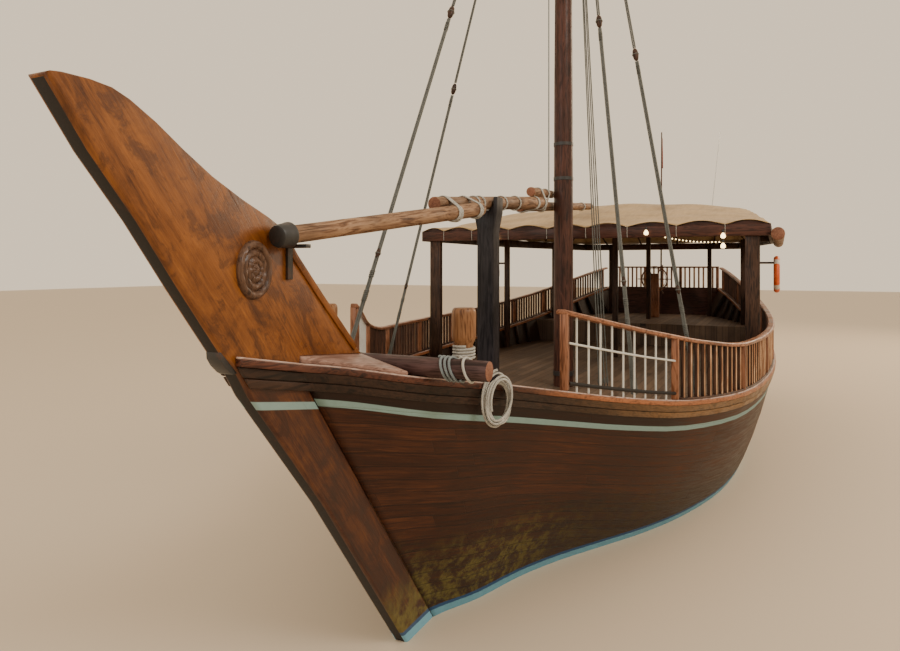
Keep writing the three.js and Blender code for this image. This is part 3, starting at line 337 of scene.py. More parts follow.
def plank_finish(name, hull):
    """Planked side: strakes with caulked seams and butts.

    It has a painted band under the rail, painted shade below the rail at the bow, stains, and paint at the
    water.
    """
    f = Finish(name, Coat_Weight=0.06, Coat_Roughness=0.3, Specular_IOR_Level=0.2)
    run, strake, _ = f.split(f.layer("strake"))
    below, height, _ = f.split(f.layer("level"))
    row = strake.floor()
    shifted = run / 4.3 + f.chance(row, 3.0) * 5.0
    butt = shifted.fract()
    plank = f.chance(row, shifted.floor())
    across = strake.fract()
    seam = 1.0 - f.ease(across.at_most(1.0 - across), 0.018, 0.05)
    joint = 1.0 - f.ease(butt.at_most(1.0 - butt), 0.0004, 0.0011)
    grain = f.pack(run + plank * 17.0, strake * 0.16, plank * 9.0)
    streak = f.noise(f.stretch(grain, (0.8, 15.0, 15.0)), 2.4, 7.0, 0.66, 0.6)
    cloud = f.noise(f.place(), 0.9, 4.0, 0.6)
    figure = streak * 0.72 + plank * 0.1 + cloud * 0.3
    colour = f.ramp(figure, (0.36, hull.plank_deep), (0.58, hull.plank_mid), (0.86, hull.plank_pale))
    # Painted shade: a darker band under the rail, forward of the railing.
    x, _, _ = f.split(f.place())
    under_rail_shade = (1.0 - f.ease(below, 0.26, 0.34)) * f.ease(x, 3.9, 4.7)
    colour = f.blend(under_rail_shade * 0.7, colour, (0.01, 0.006, 0.005))
    # Pale scuffs along the grain, darker streaks towards the water and the green growth above the water.
    scuff = f.ease(f.noise(f.stretch(grain, (1.5, 60.0, 60.0)), 2.0, 3.0, 0.7), 0.66, 0.74)
    colour = f.blend(scuff * 0.16, colour, (0.26, 0.15, 0.09))
    drip = f.noise(f.stretch(f.place(), (5.0, 5.0, 0.5)), 3.0, 5.0, 0.7)
    low_darkening = f.ease(height + drip * 0.5, 1.25, 0.45)
    colour = f.blend(low_darkening * 0.5, colour, (0.02, 0.016, 0.012))
    bow = f.ease(x + drip * 0.7, 4.9, 6.2)
    algae_patch = f.ease(f.noise(f.place(), 7.0, 6.0, 0.75), 0.44, 0.6)
    low = f.ease(height + drip * 0.5 - cloud * 0.25, 1.15, 0.5)
    fade = f.ease(x, 1.0, 6.5, 0.16, 1.0)
    algae = low * algae_patch * (bow * 0.75 + 0.25) * fade
    green = f.blend(f.noise(f.place(), 30.0, 3.0), (0.06, 0.05, 0.012), (0.18, 0.15, 0.045))
    colour = f.blend(algae * 0.8, colour, green)
    colour = f.blend((seam * 0.5).at_least(joint * 0.3), colour, (0.006, 0.004, 0.003))
    # Painted band that follows the sheer.
    chips = f.ease(f.noise(f.stretch(grain, (2.5, 20.0, 20.0)), 6.0, 4.0, 0.7), 0.3, 0.4)
    half = hull.band_width / 2
    band = 1.0 - f.ease(abs(below - (hull.band_drop + half)), half - 0.004, half + 0.003)
    band = band * (chips * 0.25 + 0.75)
    faded = tuple(c * 0.82 for c in hull.band_colour)
    paint = f.blend(f.noise(f.place(), 12.0, 4.0, 0.7), faded, hull.band_colour)
    colour = f.blend(band, colour, paint)
    ragged = f.noise(f.place(), 20.0, 3.0) * 0.012
    line = 1.0 - f.ease(height + ragged, 0.125, 0.135)
    colour = f.blend(line * 0.85, colour, (0.02, 0.075, 0.19))
    boot = 1.0 - f.ease(height + ragged, 0.088, 0.096)
    faded = tuple(c * 0.7 for c in hull.boot_colour)
    blue = f.blend(f.noise(f.place(), 9.0, 5.0, 0.7), faded, hull.boot_colour)
    colour = f.blend(boot * 0.95, colour, blue)
    painted = band.at_least(line)
    roughness = f.ease(streak + cloud * 0.3, 0.4, 0.9, 0.34, 0.62) + painted * 0.12 + algae * 0.3
    relief = streak * 0.35 - seam * 0.8 - joint * 0.4 + algae * 0.4 + scuff * 0.2
    return f.wear(Base_Color=colour, Roughness=roughness, Normal=f.bump(relief, 0.006, 0.55))


def stem_finish(name, hull):
    """Varnished stem board: warm mottled grain up the rake.

    It carries on the painted band, is darker below the rail line as painted shade, and growth darkens its
    foot.
    """
    f = Finish(name, Coat_Weight=0.15, Coat_Roughness=0.25, Specular_IOR_Level=0.3)
    place = f.place()
    rake = (0.0, math.radians(STEM_RAKE), 0.0)
    turned = f.node("ShaderNodeMapping", None, {"Vector": place, "Rotation": rake})
    streak = f.noise(f.stretch(turned, (0.55, 9.0, 9.0)), 2.2, 7.0, 0.62, 1.1)
    fine = f.noise(f.stretch(turned, (1.6, 30.0, 30.0)), 3.2, 5.0, 0.66, 0.4)
    mottle = f.noise(f.stretch(turned, (1.0, 2.1, 2.1)), 2.3, 6.0, 0.72, 0.8)
    figure = streak * 0.3 + fine * 0.22 + mottle * 0.5
    varnished = ((0.38, (0.05, 0.0135, 0.003)), (0.5, (0.16, 0.05, 0.007)), (0.66, (0.29, 0.1, 0.015)))
    colour = f.ramp(figure, *varnished)
    smudge = f.ease(f.noise(f.stretch(turned, (0.6, 1.0, 1.0)), 8.0, 5.0, 0.65, 0.6), 0.5, 0.62)
    colour = f.blend(smudge * 0.6, colour, (0.05, 0.014, 0.004))
    x, _, z = f.split(place)
    # Painted shade: below the rail line the board takes darker stops.
    low = f.ease(z - x * 0.1948 - 0.9883, 0.0, -0.08)
    shaded_stops = ((0.36, (0.012, 0.004, 0.0025)), (0.5, (0.04, 0.01, 0.004)), (0.68, (0.14, 0.045, 0.011)))
    shade = f.ramp(figure, *shaded_stops)
    colour = f.blend(low, colour, shade)
    drip = f.noise(f.stretch(place, (6.0, 6.0, 0.7)), 3.0, 5.0, 0.7)
    algae = f.ease(z + drip * 0.5, 0.95, 0.45) * f.ease(f.noise(place, 9.0, 6.0, 0.75), 0.36, 0.56)
    green = f.blend(f.noise(place, 24.0, 3.0), (0.07, 0.055, 0.012), (0.2, 0.165, 0.045))
    colour = f.blend(algae * 0.85, colour, green)
    below = (x * 0.1758 + 1.1123 - z) / 0.8508
    half = hull.band_width / 2
    band = 1.0 - f.ease(abs(below - (hull.band_drop + half)), half - 0.004, half + 0.003)
    faded = tuple(c * 0.85 for c in hull.band_colour)
    paint = f.blend(f.noise(place, 12.0, 4.0, 0.7), faded, hull.band_colour)
    colour = f.blend(band, colour, paint)
    ragged = f.noise(place, 20.0, 3.0) * 0.012
    colour = f.blend((1.0 - f.ease(z + ragged, 0.125, 0.135)) * 0.85, colour, (0.02, 0.075, 0.19))
    colour = f.blend((1.0 - f.ease(z + ragged, 0.088, 0.096)) * 0.95, colour, hull.boot_colour)
    checks = f.ease(f.noise(f.stretch(turned, (0.5, 26.0, 26.0)), 1.7, 2.0, 0.4), 0.7, 0.76)
    colour = f.blend(checks * 0.6, colour, (0.03, 0.01, 0.005))
    roughness = f.ease(mottle, 0.3, 0.8, 0.3, 0.56) + algae * 0.3
    relief = fine * 0.5 + mottle * 0.6 - checks
    return f.wear(Base_Color=colour, Roughness=roughness, Normal=f.bump(relief, 0.006, 0.4))


def deck_finish(name, deep, pale, width=0.12):
    """Deck planks that run fore and aft, with dark caulking and trodden wear."""
    f = Finish(name, Coat_Weight=0.05, Specular_IOR_Level=0.35)
    x, y, _ = f.split(f.place())
    across = y / width + 0.5
    row = across.floor()
    shifted = x / 3.1 + f.chance(row, 1.0) * 4.0
    plank = f.chance(row, shifted.floor())
    butt = shifted.fract()
    edge = across.fract()
    seam = (1.0 - f.ease(edge.at_most(1.0 - edge), 0.02, 0.04)).at_least(
        1.0 - f.ease(butt.at_most(1.0 - butt), 0.0007, 0.0014))
    grain = f.pack(x + plank * 13.0, y * 8.0, plank * 5.0)
    streak = f.noise(f.stretch(grain, (0.8, 2.2, 1.0)), 3.2, 6.0, 0.65, 0.4)
    colour = f.ramp(streak * 0.7 + plank * 0.3, (0.3, deep), (0.72, pale))
    stain = f.ease(f.noise(f.place(), 1.7, 5.0, 0.65), 0.45, 0.72)
    colour = f.blend(stain * 0.5, colour, tuple(c * 0.45 for c in deep))
    colour = f.blend(seam * 0.9, colour, (0.015, 0.012, 0.01))
    roughness = f.ease(streak, 0.2, 0.8, 0.55, 0.8)
    return f.wear(Base_Color=colour, Roughness=roughness, Normal=f.bump(streak * 0.4 - seam, 0.004, 0.5))


def rope_finish(name, pale, deep, strands=3.0):
    """Laid rope: strands that wind along its own length, with painted shade between them, fibres and grime.
    """
    f = Finish(name, Specular_IOR_Level=0.25, Sheen_Weight=0.2)
    around, run, _ = f.split(f.node("ShaderNodeUVMap", {"uv_map": "UVMap"}))
    lay = (run + around * strands).fract()
    crown = (lay * math.pi).sine()
    fibre = f.noise(f.pack(around * 14.0, run * 3.0, 0.0), 5.0, 3.0, 0.7)
    grime = f.ease(f.noise(f.place(), 8.0, 4.0, 0.65), 0.35, 0.75)
    # Painted shade: darker between the strands, paler on their crowns.
    colour = f.blend(f.ease(crown, 0.1, 0.7), deep, pale)
    colour = f.blend(grime * 0.45, colour, deep)
    colour = f.blend(fibre * 0.3, colour, tuple(c * 0.6 for c in pale))
    normal = f.bump(crown + fibre * 0.25, 0.004, 0.7)
    return f.wear(Base_Color=colour, Roughness=fibre * 0.2 + 0.72, Normal=normal)


def cloth_finish(name, pale, deep, weave=260.0):
    """Heavy woven cloth with a fine weave, panel seams, creases and weather stains."""
    f = Finish(name, Sheen_Weight=0.15, Specular_IOR_Level=0.2)
    u, v, _ = f.split(f.node("ShaderNodeUVMap", {"uv_map": "UVMap"}))
    thread = (u * weave).sine() * (v * weave).sine()
    cloud = f.noise(f.place(), 1.6, 5.0, 0.65)
    streaks = f.noise(f.pack(u * 0.8, v * 6.0, 0.0), 2.5, 5.0, 0.7)
    colour = f.ramp(cloud * 0.6 + streaks * 0.4, (0.3, deep), (0.62, pale))
    panel = (u / 1.5).fract()
    seam = 1.0 - f.ease(panel.at_most(1.0 - panel), 0.004, 0.012)
    colour = f.blend(seam * 0.45, colour, tuple(c * 0.6 for c in deep))
    colour = f.blend(f.ease(thread, -0.6, 0.6) * 0.12, colour, deep)
    creases = f.noise(f.pack(u * 1.0, v * 2.4, 0.0), 1.6, 3.0, 0.6, 1.0)
    weave_bump = f.bump(thread, 0.0012, 0.3)
    normal = f.bump(creases + seam * 0.25, 0.03, 0.35, weave_bump)
    return f.wear(Base_Color=colour, Roughness=cloud * 0.15 + 0.78, Normal=normal)


def metal_finish(name, pale, deep, metallic=0.0, rough=0.45, rust=0.3, gloss=0.0):
    """Painted or bare metal with fine pitting and a bloom of rust."""
    f = Finish(name, Coat_Weight=gloss, Coat_Roughness=0.3)
    fine = f.noise(f.place(), 45.0, 4.0, 0.6)
    bloom = f.ease(f.noise(f.place(), 9.0, 6.0, 0.7), 0.52, 0.7) * rust
    colour = f.blend(fine, deep, pale)
    colour = f.blend(bloom, colour, (0.16, 0.05, 0.02))
    return f.wear(
        Base_Color=colour, Metallic=(1.0 - bloom) * metallic,
        Roughness=fine * 0.15 + bloom * 0.3 + rough, Normal=f.bump(fine + bloom, 0.0015, 0.4))


def buoy_finish(name, colour, band):
    """Moulded shell of a lifebuoy with four pale bands round it, scuffed and sun-bleached."""
    f = Finish(name, Specular_IOR_Level=0.4)
    turn, _, _ = f.split(f.node("ShaderNodeUVMap", {"uv_map": "UVMap"}))
    quarter = (turn * 4.0).fract()
    tape = 1.0 - f.ease(abs(quarter - 0.5), 0.1, 0.112)
    scuff = f.ease(f.noise(f.place(), 14.0, 5.0, 0.7), 0.5, 0.72)
    body = f.blend(scuff * 0.5, colour, tuple(min(1.0, c * 1.5 + 0.05) for c in colour))
    whole = f.blend(tape, body, f.blend(scuff * 0.4, band, tuple(c * 0.6 for c in band)))
    return f.wear(Base_Color=whole, Roughness=scuff * 0.2 + 0.42, Normal=f.bump(scuff, 0.0015, 0.3))


def lamp_finish(name, colour, strength):
    f = Finish(name, Roughness=0.2, Emission_Strength=strength)
    glow = f.ease(f.noise(f.place(), 30.0, 1.0), 0.2, 0.8, 0.85, 1.0)
    tint = f.blend(glow, tuple(c * 0.8 for c in colour), colour)
    return f.wear(Base_Color=tint, Emission_Color=tint)


def floor_finish(name, colour):
    f = Finish(name, Roughness=0.6, Specular_IOR_Level=0.2)
    soft = f.noise(f.place(), 0.15, 3.0)
    return f.wear(Base_Color=f.blend(soft * 0.3, colour, tuple(c * 0.93 for c in colour)))


WOODS = {
    # darkest, middle and palest shade, roughness, gloss, and what else the finish takes
    "dark_wood": ((0.008, 0.004, 0.003), (0.028, 0.013, 0.008), (0.075, 0.036, 0.021), 0.5, 0.12, {}),
    # Wale: near black at the bow as painted shade under the rail, fading aft to a paler brown as painted
    # light.
    "wale_wood": (
        (0.006, 0.0035, 0.003), (0.02, 0.009, 0.006), (0.05, 0.023, 0.014), 0.42, 0.25,
        {"aft": (6.4, 4.2, (0.22, 0.115, 0.045))}),
    "rail_wood": ((0.06, 0.02, 0.009), (0.2, 0.075, 0.034), (0.38, 0.17, 0.09), 0.4, 0.3, {}),
    # Cap rail: the top board's pale pink is partly painted light on its top. The lower board's dark red-brown
    # is partly painted shade at the bow, fading aft to orange painted highlights.
    "cap_wood": ((0.3, 0.16, 0.12), (0.52, 0.36, 0.3), (0.7, 0.56, 0.5), 0.42, 0.25, {}),
    "cap_edge": (
        (0.012, 0.005, 0.004), (0.045, 0.014, 0.008), (0.12, 0.04, 0.022), 0.42, 0.25,
        {"aft": (7.0, 5.6, (0.34, 0.125, 0.05))}),
    # Bow cover: its pale brown is partly a painted reflection on its top.
    "cover_wood": ((0.12, 0.06, 0.045), (0.26, 0.145, 0.11), (0.42, 0.27, 0.22), 0.45, 0.2, {}),
    # Balusters: baluster_wood is the lit side, and the next entry a darker copy of it for the shaded sides:
    # painted light and shade.
    "baluster_wood": ((0.16, 0.06, 0.025), (0.4, 0.2, 0.1), (0.62, 0.4, 0.24), 0.4, 0.3, {}),
    "baluster_shaded_side": ((0.01, 0.005, 0.003), (0.04, 0.016, 0.009), (0.1, 0.042, 0.023), 0.4, 0.3, {}),
    "mast_wood": ((0.012, 0.0045, 0.0035), (0.04, 0.0135, 0.009), (0.095, 0.034, 0.022), 0.45, 0.2, {}),
    "crutch_wood": ((0.004, 0.004, 0.006), (0.014, 0.013, 0.018), (0.04, 0.036, 0.042), 0.5, 0.15, {}),
    "spar_wood": ((0.035, 0.015, 0.008), (0.16, 0.08, 0.042), (0.36, 0.22, 0.13), 0.6, 0.05, {"grit": 0.7}),
    "log_wood": ((0.012, 0.006, 0.006), (0.042, 0.02, 0.019), (0.1, 0.056, 0.054), 0.5, 0.1, {"grit": 0.8}),
    "end_grain": (
        (0.07, 0.025, 0.015), (0.19, 0.075, 0.045), (0.32, 0.15, 0.09), 0.65, 0.0,
        {"grit": 0.8, "ring_scale": 22.0}),
    "bollard_wood": ((0.05, 0.017, 0.007), (0.18, 0.072, 0.025), (0.36, 0.18, 0.08), 0.4, 0.3, {}),
    "rosette_wood": ((0.02, 0.01, 0.007), (0.06, 0.03, 0.019), (0.14, 0.075, 0.046), 0.38, 0.3, {}),
}
METALS = {
    # pale and deep shade, how metallic, roughness, rust, gloss
    "black_iron": ((0.02, 0.022, 0.024), (0.008, 0.008, 0.009), 0.0, 0.4, 0.2, 0.2),
    "black_paint": ((0.007, 0.005, 0.004), (0.003, 0.0025, 0.002), 0.0, 0.6, 0.1, 0.0),
    "steel": ((0.62, 0.62, 0.6), (0.45, 0.45, 0.44), 1.0, 0.28, 0.12, 0.0),
    "bronze": ((0.55, 0.38, 0.18), (0.32, 0.2, 0.09), 1.0, 0.3, 0.1, 0.0),
    "white_paint": ((0.66, 0.66, 0.63), (0.5, 0.5, 0.47), 0.0, 0.4, 0.15, 0.1),
}
MADE = {}


def make(name):
    """Makes the material of that name, from a table or from the scene's settings."""
    if name in WOODS:
        *values, more = WOODS[name]
        return wood_finish(name, *values, **more)
    if name in METALS:
        return metal_finish(name, *METALS[name])
    hull = bpy.context.scene.dhow_hull
    rope = bpy.context.scene.dhow_rig.rope_colour
    cloth = bpy.context.scene.dhow_canopy.cloth_colour
    others = {
        "planking": lambda: plank_finish(name, hull),
        "stem_board": lambda: stem_finish(name, hull),
        "deck_wood": lambda: deck_finish(name, (0.055, 0.032, 0.02), (0.18, 0.115, 0.072)),
        "white_rope": lambda: rope_finish(name, rope, (0.2, 0.19, 0.165)),
        "grey_rope": lambda: rope_finish(name, (0.3, 0.36, 0.38), (0.09, 0.115, 0.125)),
        "stay_rope": lambda: rope_finish(name, (0.17, 0.18, 0.165), (0.05, 0.05, 0.045)),
        "canopy_cloth": lambda: cloth_finish(name, cloth, (0.26, 0.165, 0.08)),
        "flag_cloth": lambda: cloth_finish(name, (0.32, 0.06, 0.05), (0.14, 0.03, 0.03), 900.0),
        "buoy_shell": lambda: buoy_finish(name, (0.62, 0.1, 0.02), (0.6, 0.55, 0.48)),
        "lamp_glow": lambda: lamp_finish(name, (1.0, 0.72, 0.34), 6.0),
        "floor": lambda: floor_finish(name, (0.62, 0.52, 0.4)),
    }
    return others[name]()


def finish(name):
    """The material of that name, made when it is first needed."""
    if name not in MADE:
        MADE[name] = make(name)
    return MADE[name]


# Members: each gives a small mesh of its own

def turn_to(axis):
    """Turns +Z to that axis."""
    return Vector(axis).normalized().to_track_quat("Z", "Y").to_matrix().to_4x4()


def frame_of(start, end, up=UP):
    """Matrix at the middle of start and end, whose X runs between them and whose Z leans to up."""
    x = (end - start).normalized()
    y = Vector(up).cross(x)
    if y.length < 1e-5:
        y = PORT.copy()
    y.normalize()
    z = x.cross(y)
    m = Matrix((x, y, z)).transposed().to_4x4()
    return Matrix.Translation((start + end) / 2) @ m


def round_edges(bm, offset, segments=2, angle=30.0):
    sharp = [e for e in bm.edges if len(e.link_faces) == 2 and e.calc_face_angle(0.0) > math.radians(angle)]
    if sharp and offset > 0:
        bmesh.ops.bevel(
            bm, geom=sharp, offset=offset, offset_type="OFFSET", segments=segments, profile=0.5,
            affect="EDGES", material=-1, clamp_overlap=True)


def beam(start, end, width, depth, bevel=0.006, up=UP, segments=2):
    """Squared timber from start to end, width across and depth along up, with eased edges."""
    start, end = Vector(start), Vector(end)
    bm = bmesh.new()
    shape = Matrix.Diagonal(((end - start).length, width, depth, 1))
    bmesh.ops.create_cube(bm, size=1.0, matrix=frame_of(start, end, up) @ shape)
    round_edges(bm, bevel, segments)
    return bm


def rod(start, end, r0, r1=None, sides=16, bevel=0.0):
    """Round bar from start to end, which may taper."""
    start, end = Vector(start), Vector(end)
    bm = bmesh.new()
    place = Matrix.Translation((start + end) / 2) @ turn_to(end - start)
    bmesh.ops.create_cone(
        bm, cap_ends=True, cap_tris=False, segments=sides, radius1=r0, radius2=r0 if r1 is None else r1,
        depth=(end - start).length, matrix=place)
    round_edges(bm, bevel, 2, 60.0)
    return bm


def turned(profile, start, end, steps=16):
    """Turned piece: a profile of (radius, share of the length) spun round the line from start to end."""
    start, end = Vector(start), Vector(end)
    length = (end - start).length
    bm = bmesh.new()
    points = [bm.verts.new((r, 0, t * length)) for r, t in profile]
    edges = [bm.edges.new(pair) for pair in zip(points, points[1:])]
    bmesh.ops.spin(
        bm, geom=points + edges, cent=(0, 0, 0), axis=(0, 0, 1), angle=2 * math.pi, steps=steps,
        use_merge=True, use_duplicate=False)
    bmesh.ops.remove_doubles(bm, verts=bm.verts, dist=1e-5)
    bmesh.ops.recalc_face_normals(bm, faces=bm.faces)
    bmesh.ops.transform(bm, matrix=Matrix.Translation(start) @ turn_to(end - start), verts=bm.verts)
    return bm


def hoop(centre, axis, radius, thick, steps=32, sides=10):
    """Ring of round section about an axis, with its own turns on its UV map."""
    bm = bmesh.new()
    uv = bm.loops.layers.uv.new("UVMap")
    bmesh.ops.create_circle(
        bm, cap_ends=False, segments=sides, radius=thick,
        matrix=Matrix.Translation((radius, 0, 0)) @ Matrix.Rotation(math.pi / 2, 4, "X"))
    bmesh.ops.spin(
        bm, geom=bm.verts[:] + bm.edges[:], cent=(0, 0, 0), axis=(0, 0, 1), angle=2 * math.pi,
        steps=steps, use_merge=True, use_duplicate=False)
    bmesh.ops.remove_doubles(bm, verts=bm.verts, dist=1e-6)
    bmesh.ops.recalc_face_normals(bm, faces=bm.faces)
    for face in bm.faces:
        mid = face.calc_center_median()
        turn = math.atan2(mid.y, mid.x)
        for loop in face.loops:
            angle = math.atan2(loop.vert.co.y, loop.vert.co.x)
            angle += 2 * math.pi * round((turn - angle) / (2 * math.pi))
            loop[uv].uv = (angle / (2 * math.pi) + 0.5, 0.5)
    bmesh.ops.transform(bm, matrix=Matrix.Translation(centre) @ turn_to(axis), verts=bm.verts)
    return bm


def plate(outline, low, high, bevel=0.0):
    """Board of an outline in the plane of the keel, from y low to y high."""
    bm = bmesh.new()
    face = bm.faces.new([bm.verts.new((x, low, z)) for x, z in outline])
    grown = bmesh.ops.extrude_face_region(bm, geom=[face])
    moved = [v for v in grown["geom"] if isinstance(v, bmesh.types.BMVert)]
    bmesh.ops.translate(bm, vec=(0, high - low, 0), verts=moved)
    bmesh.ops.recalc_face_normals(bm, faces=bm.faces)
    round_edges(bm, bevel)
    return bm


def run_through(rings, bevel=0.0):
    """Moulding: a closed section carried from ring to ring, each ring with the same number of points."""
    bm = bmesh.new()
    face = bm.faces.new([bm.verts.new(p) for p in rings[0]])
    for i, ring in enumerate(rings[1:]):
        grown = bmesh.ops.extrude_face_region(bm, geom=[face])
        if i:
            bmesh.ops.delete(bm, geom=[face], context="FACES_ONLY")
        face = next(g for g in grown["geom"] if isinstance(g, bmesh.types.BMFace))
        for vert, point in zip(face.verts, ring):
            vert.co = point
    bmesh.ops.recalc_face_normals(bm, faces=bm.faces)
    round_edges(bm, bevel, 2, 40.0)
    return bm


def strand(points, radius, sides=8, lay=None):
    """Rope through the points, closed at both ends. Its UV map runs round it and along it by the lay."""
    curve = bpy.data.curves.new("strand", "CURVE")
    curve.dimensions = "3D"
    curve.bevel_depth = radius
    curve.bevel_resolution = max(0, sides // 2 - 2)
    curve.use_fill_caps = True
    spline = curve.splines.new("POLY")
    spline.points.add(len(points) - 1)
    for point, place in zip(spline.points, points):
        point.co = (*place, 1)
    holder = bpy.data.objects.new("strand", curve)
    mesh = bpy.data.meshes.new_from_object(holder)
    bpy.data.objects.remove(holder)
    bpy.data.curves.remove(curve)
    length = sum((Vector(b) - Vector(a)).length for a, b in zip(points, points[1:]))
    turns = length / (lay or radius * 7)
    for item in mesh.uv_layers[0].data:
        item.uv = (item.uv[0], item.uv[1] * turns)
    bm = bmesh.new()
    bm.from_mesh(mesh)
    bpy.data.meshes.remove(mesh)
    bmesh.ops.remove_doubles(bm, verts=bm.verts, dist=1e-5)
    return bm


def coil_points(start, end, radius, turns, per_turn=14, phase=0.0):
    """Points of a winding from start to end about the line between them."""
    start, end = Vector(start), Vector(end)
    winding = turn_to(end - start)
    count = max(2, int(turns * per_turn))
    points = []
    for i in range(count + 1):
        t = i / count
        a = phase + 2 * math.pi * turns * t
        points.append(start.lerp(end, t) + winding @ Vector((math.cos(a) * radius, math.sin(a) * radius, 0)))
    return points


def merged_copy(node, bevel=0.006, segments=2, angle=30.0):
    """The node's own shape with its loose triangles joined, flat faces made whole and edges eased."""
    bm = bmesh.new()
    bm.from_mesh(NODES[node].data)
    bmesh.ops.remove_doubles(bm, verts=bm.verts, dist=2e-5)
    bmesh.ops.dissolve_limit(bm, angle_limit=math.radians(0.6), verts=bm.verts[:], edges=bm.edges[:])
    round_edges(bm, bevel, segments, angle)
    return bm


class Piece:
    """A piece in the making, put together from members. Each is stamped with its grain and its tone."""

    def __init__(self):
        self.bm = bmesh.new()
        self.layers(self.bm)
        self.count = 0

    @staticmethod
    def layers(bm):
        """Makes sure that a mesh carries its grain, its tone and a UV map."""
        for kind, name in ((bm.verts.layers.float_vector, "grain"), (bm.verts.layers.float, "tone")):
            if kind.get(name) is None:
                kind.new(name)
        if not bm.loops.layers.uv:
            bm.loops.layers.uv.new("UVMap")

    def add(self, member, axis=FORE, skin=0, tone=None):
        """Takes in a member whose grain runs along axis, in the material of that slot."""
        self.layers(member)
        grain = member.verts.layers.float_vector["grain"]
        shade = member.verts.layers.float["tone"]
        run = Vector(axis).normalized()
        side = run.orthogonal().normalized()
        other = run.cross(side)
        self.count += 1
        shift = self.count * 1.731
        value = (self.count * 0.618034) % 1.0 if tone is None else tone
        for vert in member.verts:
            vert[grain] = (vert.co.dot(run) + shift, vert.co.dot(side) + shift, vert.co.dot(other))
            vert[shade] = value
        for face in member.faces:
            face.material_index = face.material_index + skin
        self.take(member)
        return self

    def take(self, member):
        mesh = bpy.data.meshes.new("member")
        member.to_mesh(mesh)
        member.free()
        self.bm.from_mesh(mesh)
        bpy.data.meshes.remove(mesh)

    def done(self, name, finishes, slot, body="boat", replaces=(), smooth=35.0):
        """Makes the object, with its place in its mesh, riding on its body."""
        mesh = bpy.data.meshes.new(name)
        self.bm.to_mesh(mesh)
        self.bm.free()
        return place_mesh(mesh, name, finishes, body, replaces, smooth)


def place_mesh(mesh, name, finishes, body="boat", replaces=(), smooth=35.0):
    obj = bpy.data.objects.new(name, mesh)
    bpy.context.scene.collection.objects.link(obj)
    for item in [finishes] if isinstance(finishes, str) else finishes:
        mesh.materials.append(finish(item))
    mesh.polygons.foreach_set("use_smooth", [True] * len(mesh.polygons))
    mesh.set_sharp_from_angle(angle=math.radians(smooth))
    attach(obj, body)
    if replaces:
        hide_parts(*replaces)
    return obj


def dress(node, name):
    """Gives a kept node its finish."""
    data = NODES[node].data
    data.materials.clear()
    data.materials.append(finish(name))


def dressed_copy(node, finishes, slot, axis, bevel=0.006, body="boat", angle=30.0, smooth=35.0):
    """A piece that stands for a node: its own shape with eased edges and grain along axis."""
    piece = Piece().add(merged_copy(node, bevel, 2, angle), axis)
    return piece.done(f"{node}_timber", finishes, slot, body, (node,), smooth)


# Settings

class HullSettings(bpy.types.PropertyGroup):
    """Sizes and colours of the planking"""

    strakes: IntProperty(name="Strakes", description="Planks from the keel to the rail", default=27, min=8)
    band_drop: FloatProperty(
        name="Band drop", description="From the top of the rail to the painted band",
        default=0.265, unit="LENGTH")
    band_width: FloatProperty(
        name="Band width", description="Width of the painted band", default=0.062, unit="LENGTH")
    band_colour: FloatVectorProperty(
        name="Band colour", description="Paint of the band under the rail",
        default=(0.22, 0.34, 0.33), subtype="COLOR")
    boot_colour: FloatVectorProperty(
        name="Boot colour", description="Paint at the waterline",
        default=(0.16, 0.38, 0.5), subtype="COLOR")
    plank_deep: FloatVectorProperty(
        name="Deep wood", description="Darkest streaks of the planking",
        default=(0.008, 0.004, 0.003), subtype="COLOR")
    plank_mid: FloatVectorProperty(
        name="Mid wood", description="Body of the planking",
        default=(0.042, 0.0135, 0.0065), subtype="COLOR")
    plank_pale: FloatVectorProperty(
        name="Pale wood", description="Palest streaks of the planking",
        default=(0.13, 0.045, 0.018), subtype="COLOR")


class RigSettings(bpy.types.PropertyGroup):
    """Sizes and colours of the rope and rigging"""

    rope_width: FloatProperty(
        name="Rope width", description="Diameter of the heavy rope", default=0.021, unit="LENGTH")
    hank_length: FloatProperty(
        name="Hank length", description="Rope in the hank over the rail", default=5.6, unit="LENGTH")
    # Colour of the crowns of the strands; between them the rope is darker as painted shade.
    rope_colour: FloatVectorProperty(
        name="Rope colour", description="Clean crowns of the heavy rope",
        default=(0.66, 0.65, 0.6), subtype="COLOR")


class CanopySettings(bpy.types.PropertyGroup):
    """Sizes and colours of the canopy"""

    scallop: FloatProperty(
        name="Scallop", description="How far the hem lifts between its ties",
        default=0.07, unit="LENGTH")
    cloth_colour: FloatVectorProperty(
        name="Cloth colour", description="Cream canvas of the canopy",
        default=(0.5, 0.35, 0.18), subtype="COLOR")


class StageSettings(bpy.types.PropertyGroup):
    """View and light"""

    focal: FloatProperty(name="Focal length", description="Lens of the camera in millimetres", default=27.04)
    key_power: FloatProperty(name="Key light", description="Power of the large soft light", default=3200.0)
    fill_power: FloatProperty(name="Fill light", description="Power of the soft light ahead", default=900.0)


# Operators

EYE = (12.16, 3.0, 3.3)
LOOK = (-0.899, -0.438, 0.0)
PHOTO_WIDTH, PHOTO_MIDDLE_V, HORIZON_V = 900.0, 325.5, 266.0
FLOOR_HALF = 90.0
WORLD_COLOUR, WORLD_STRENGTH = (1.0, 0.82, 0.6, 1.0), 1.1


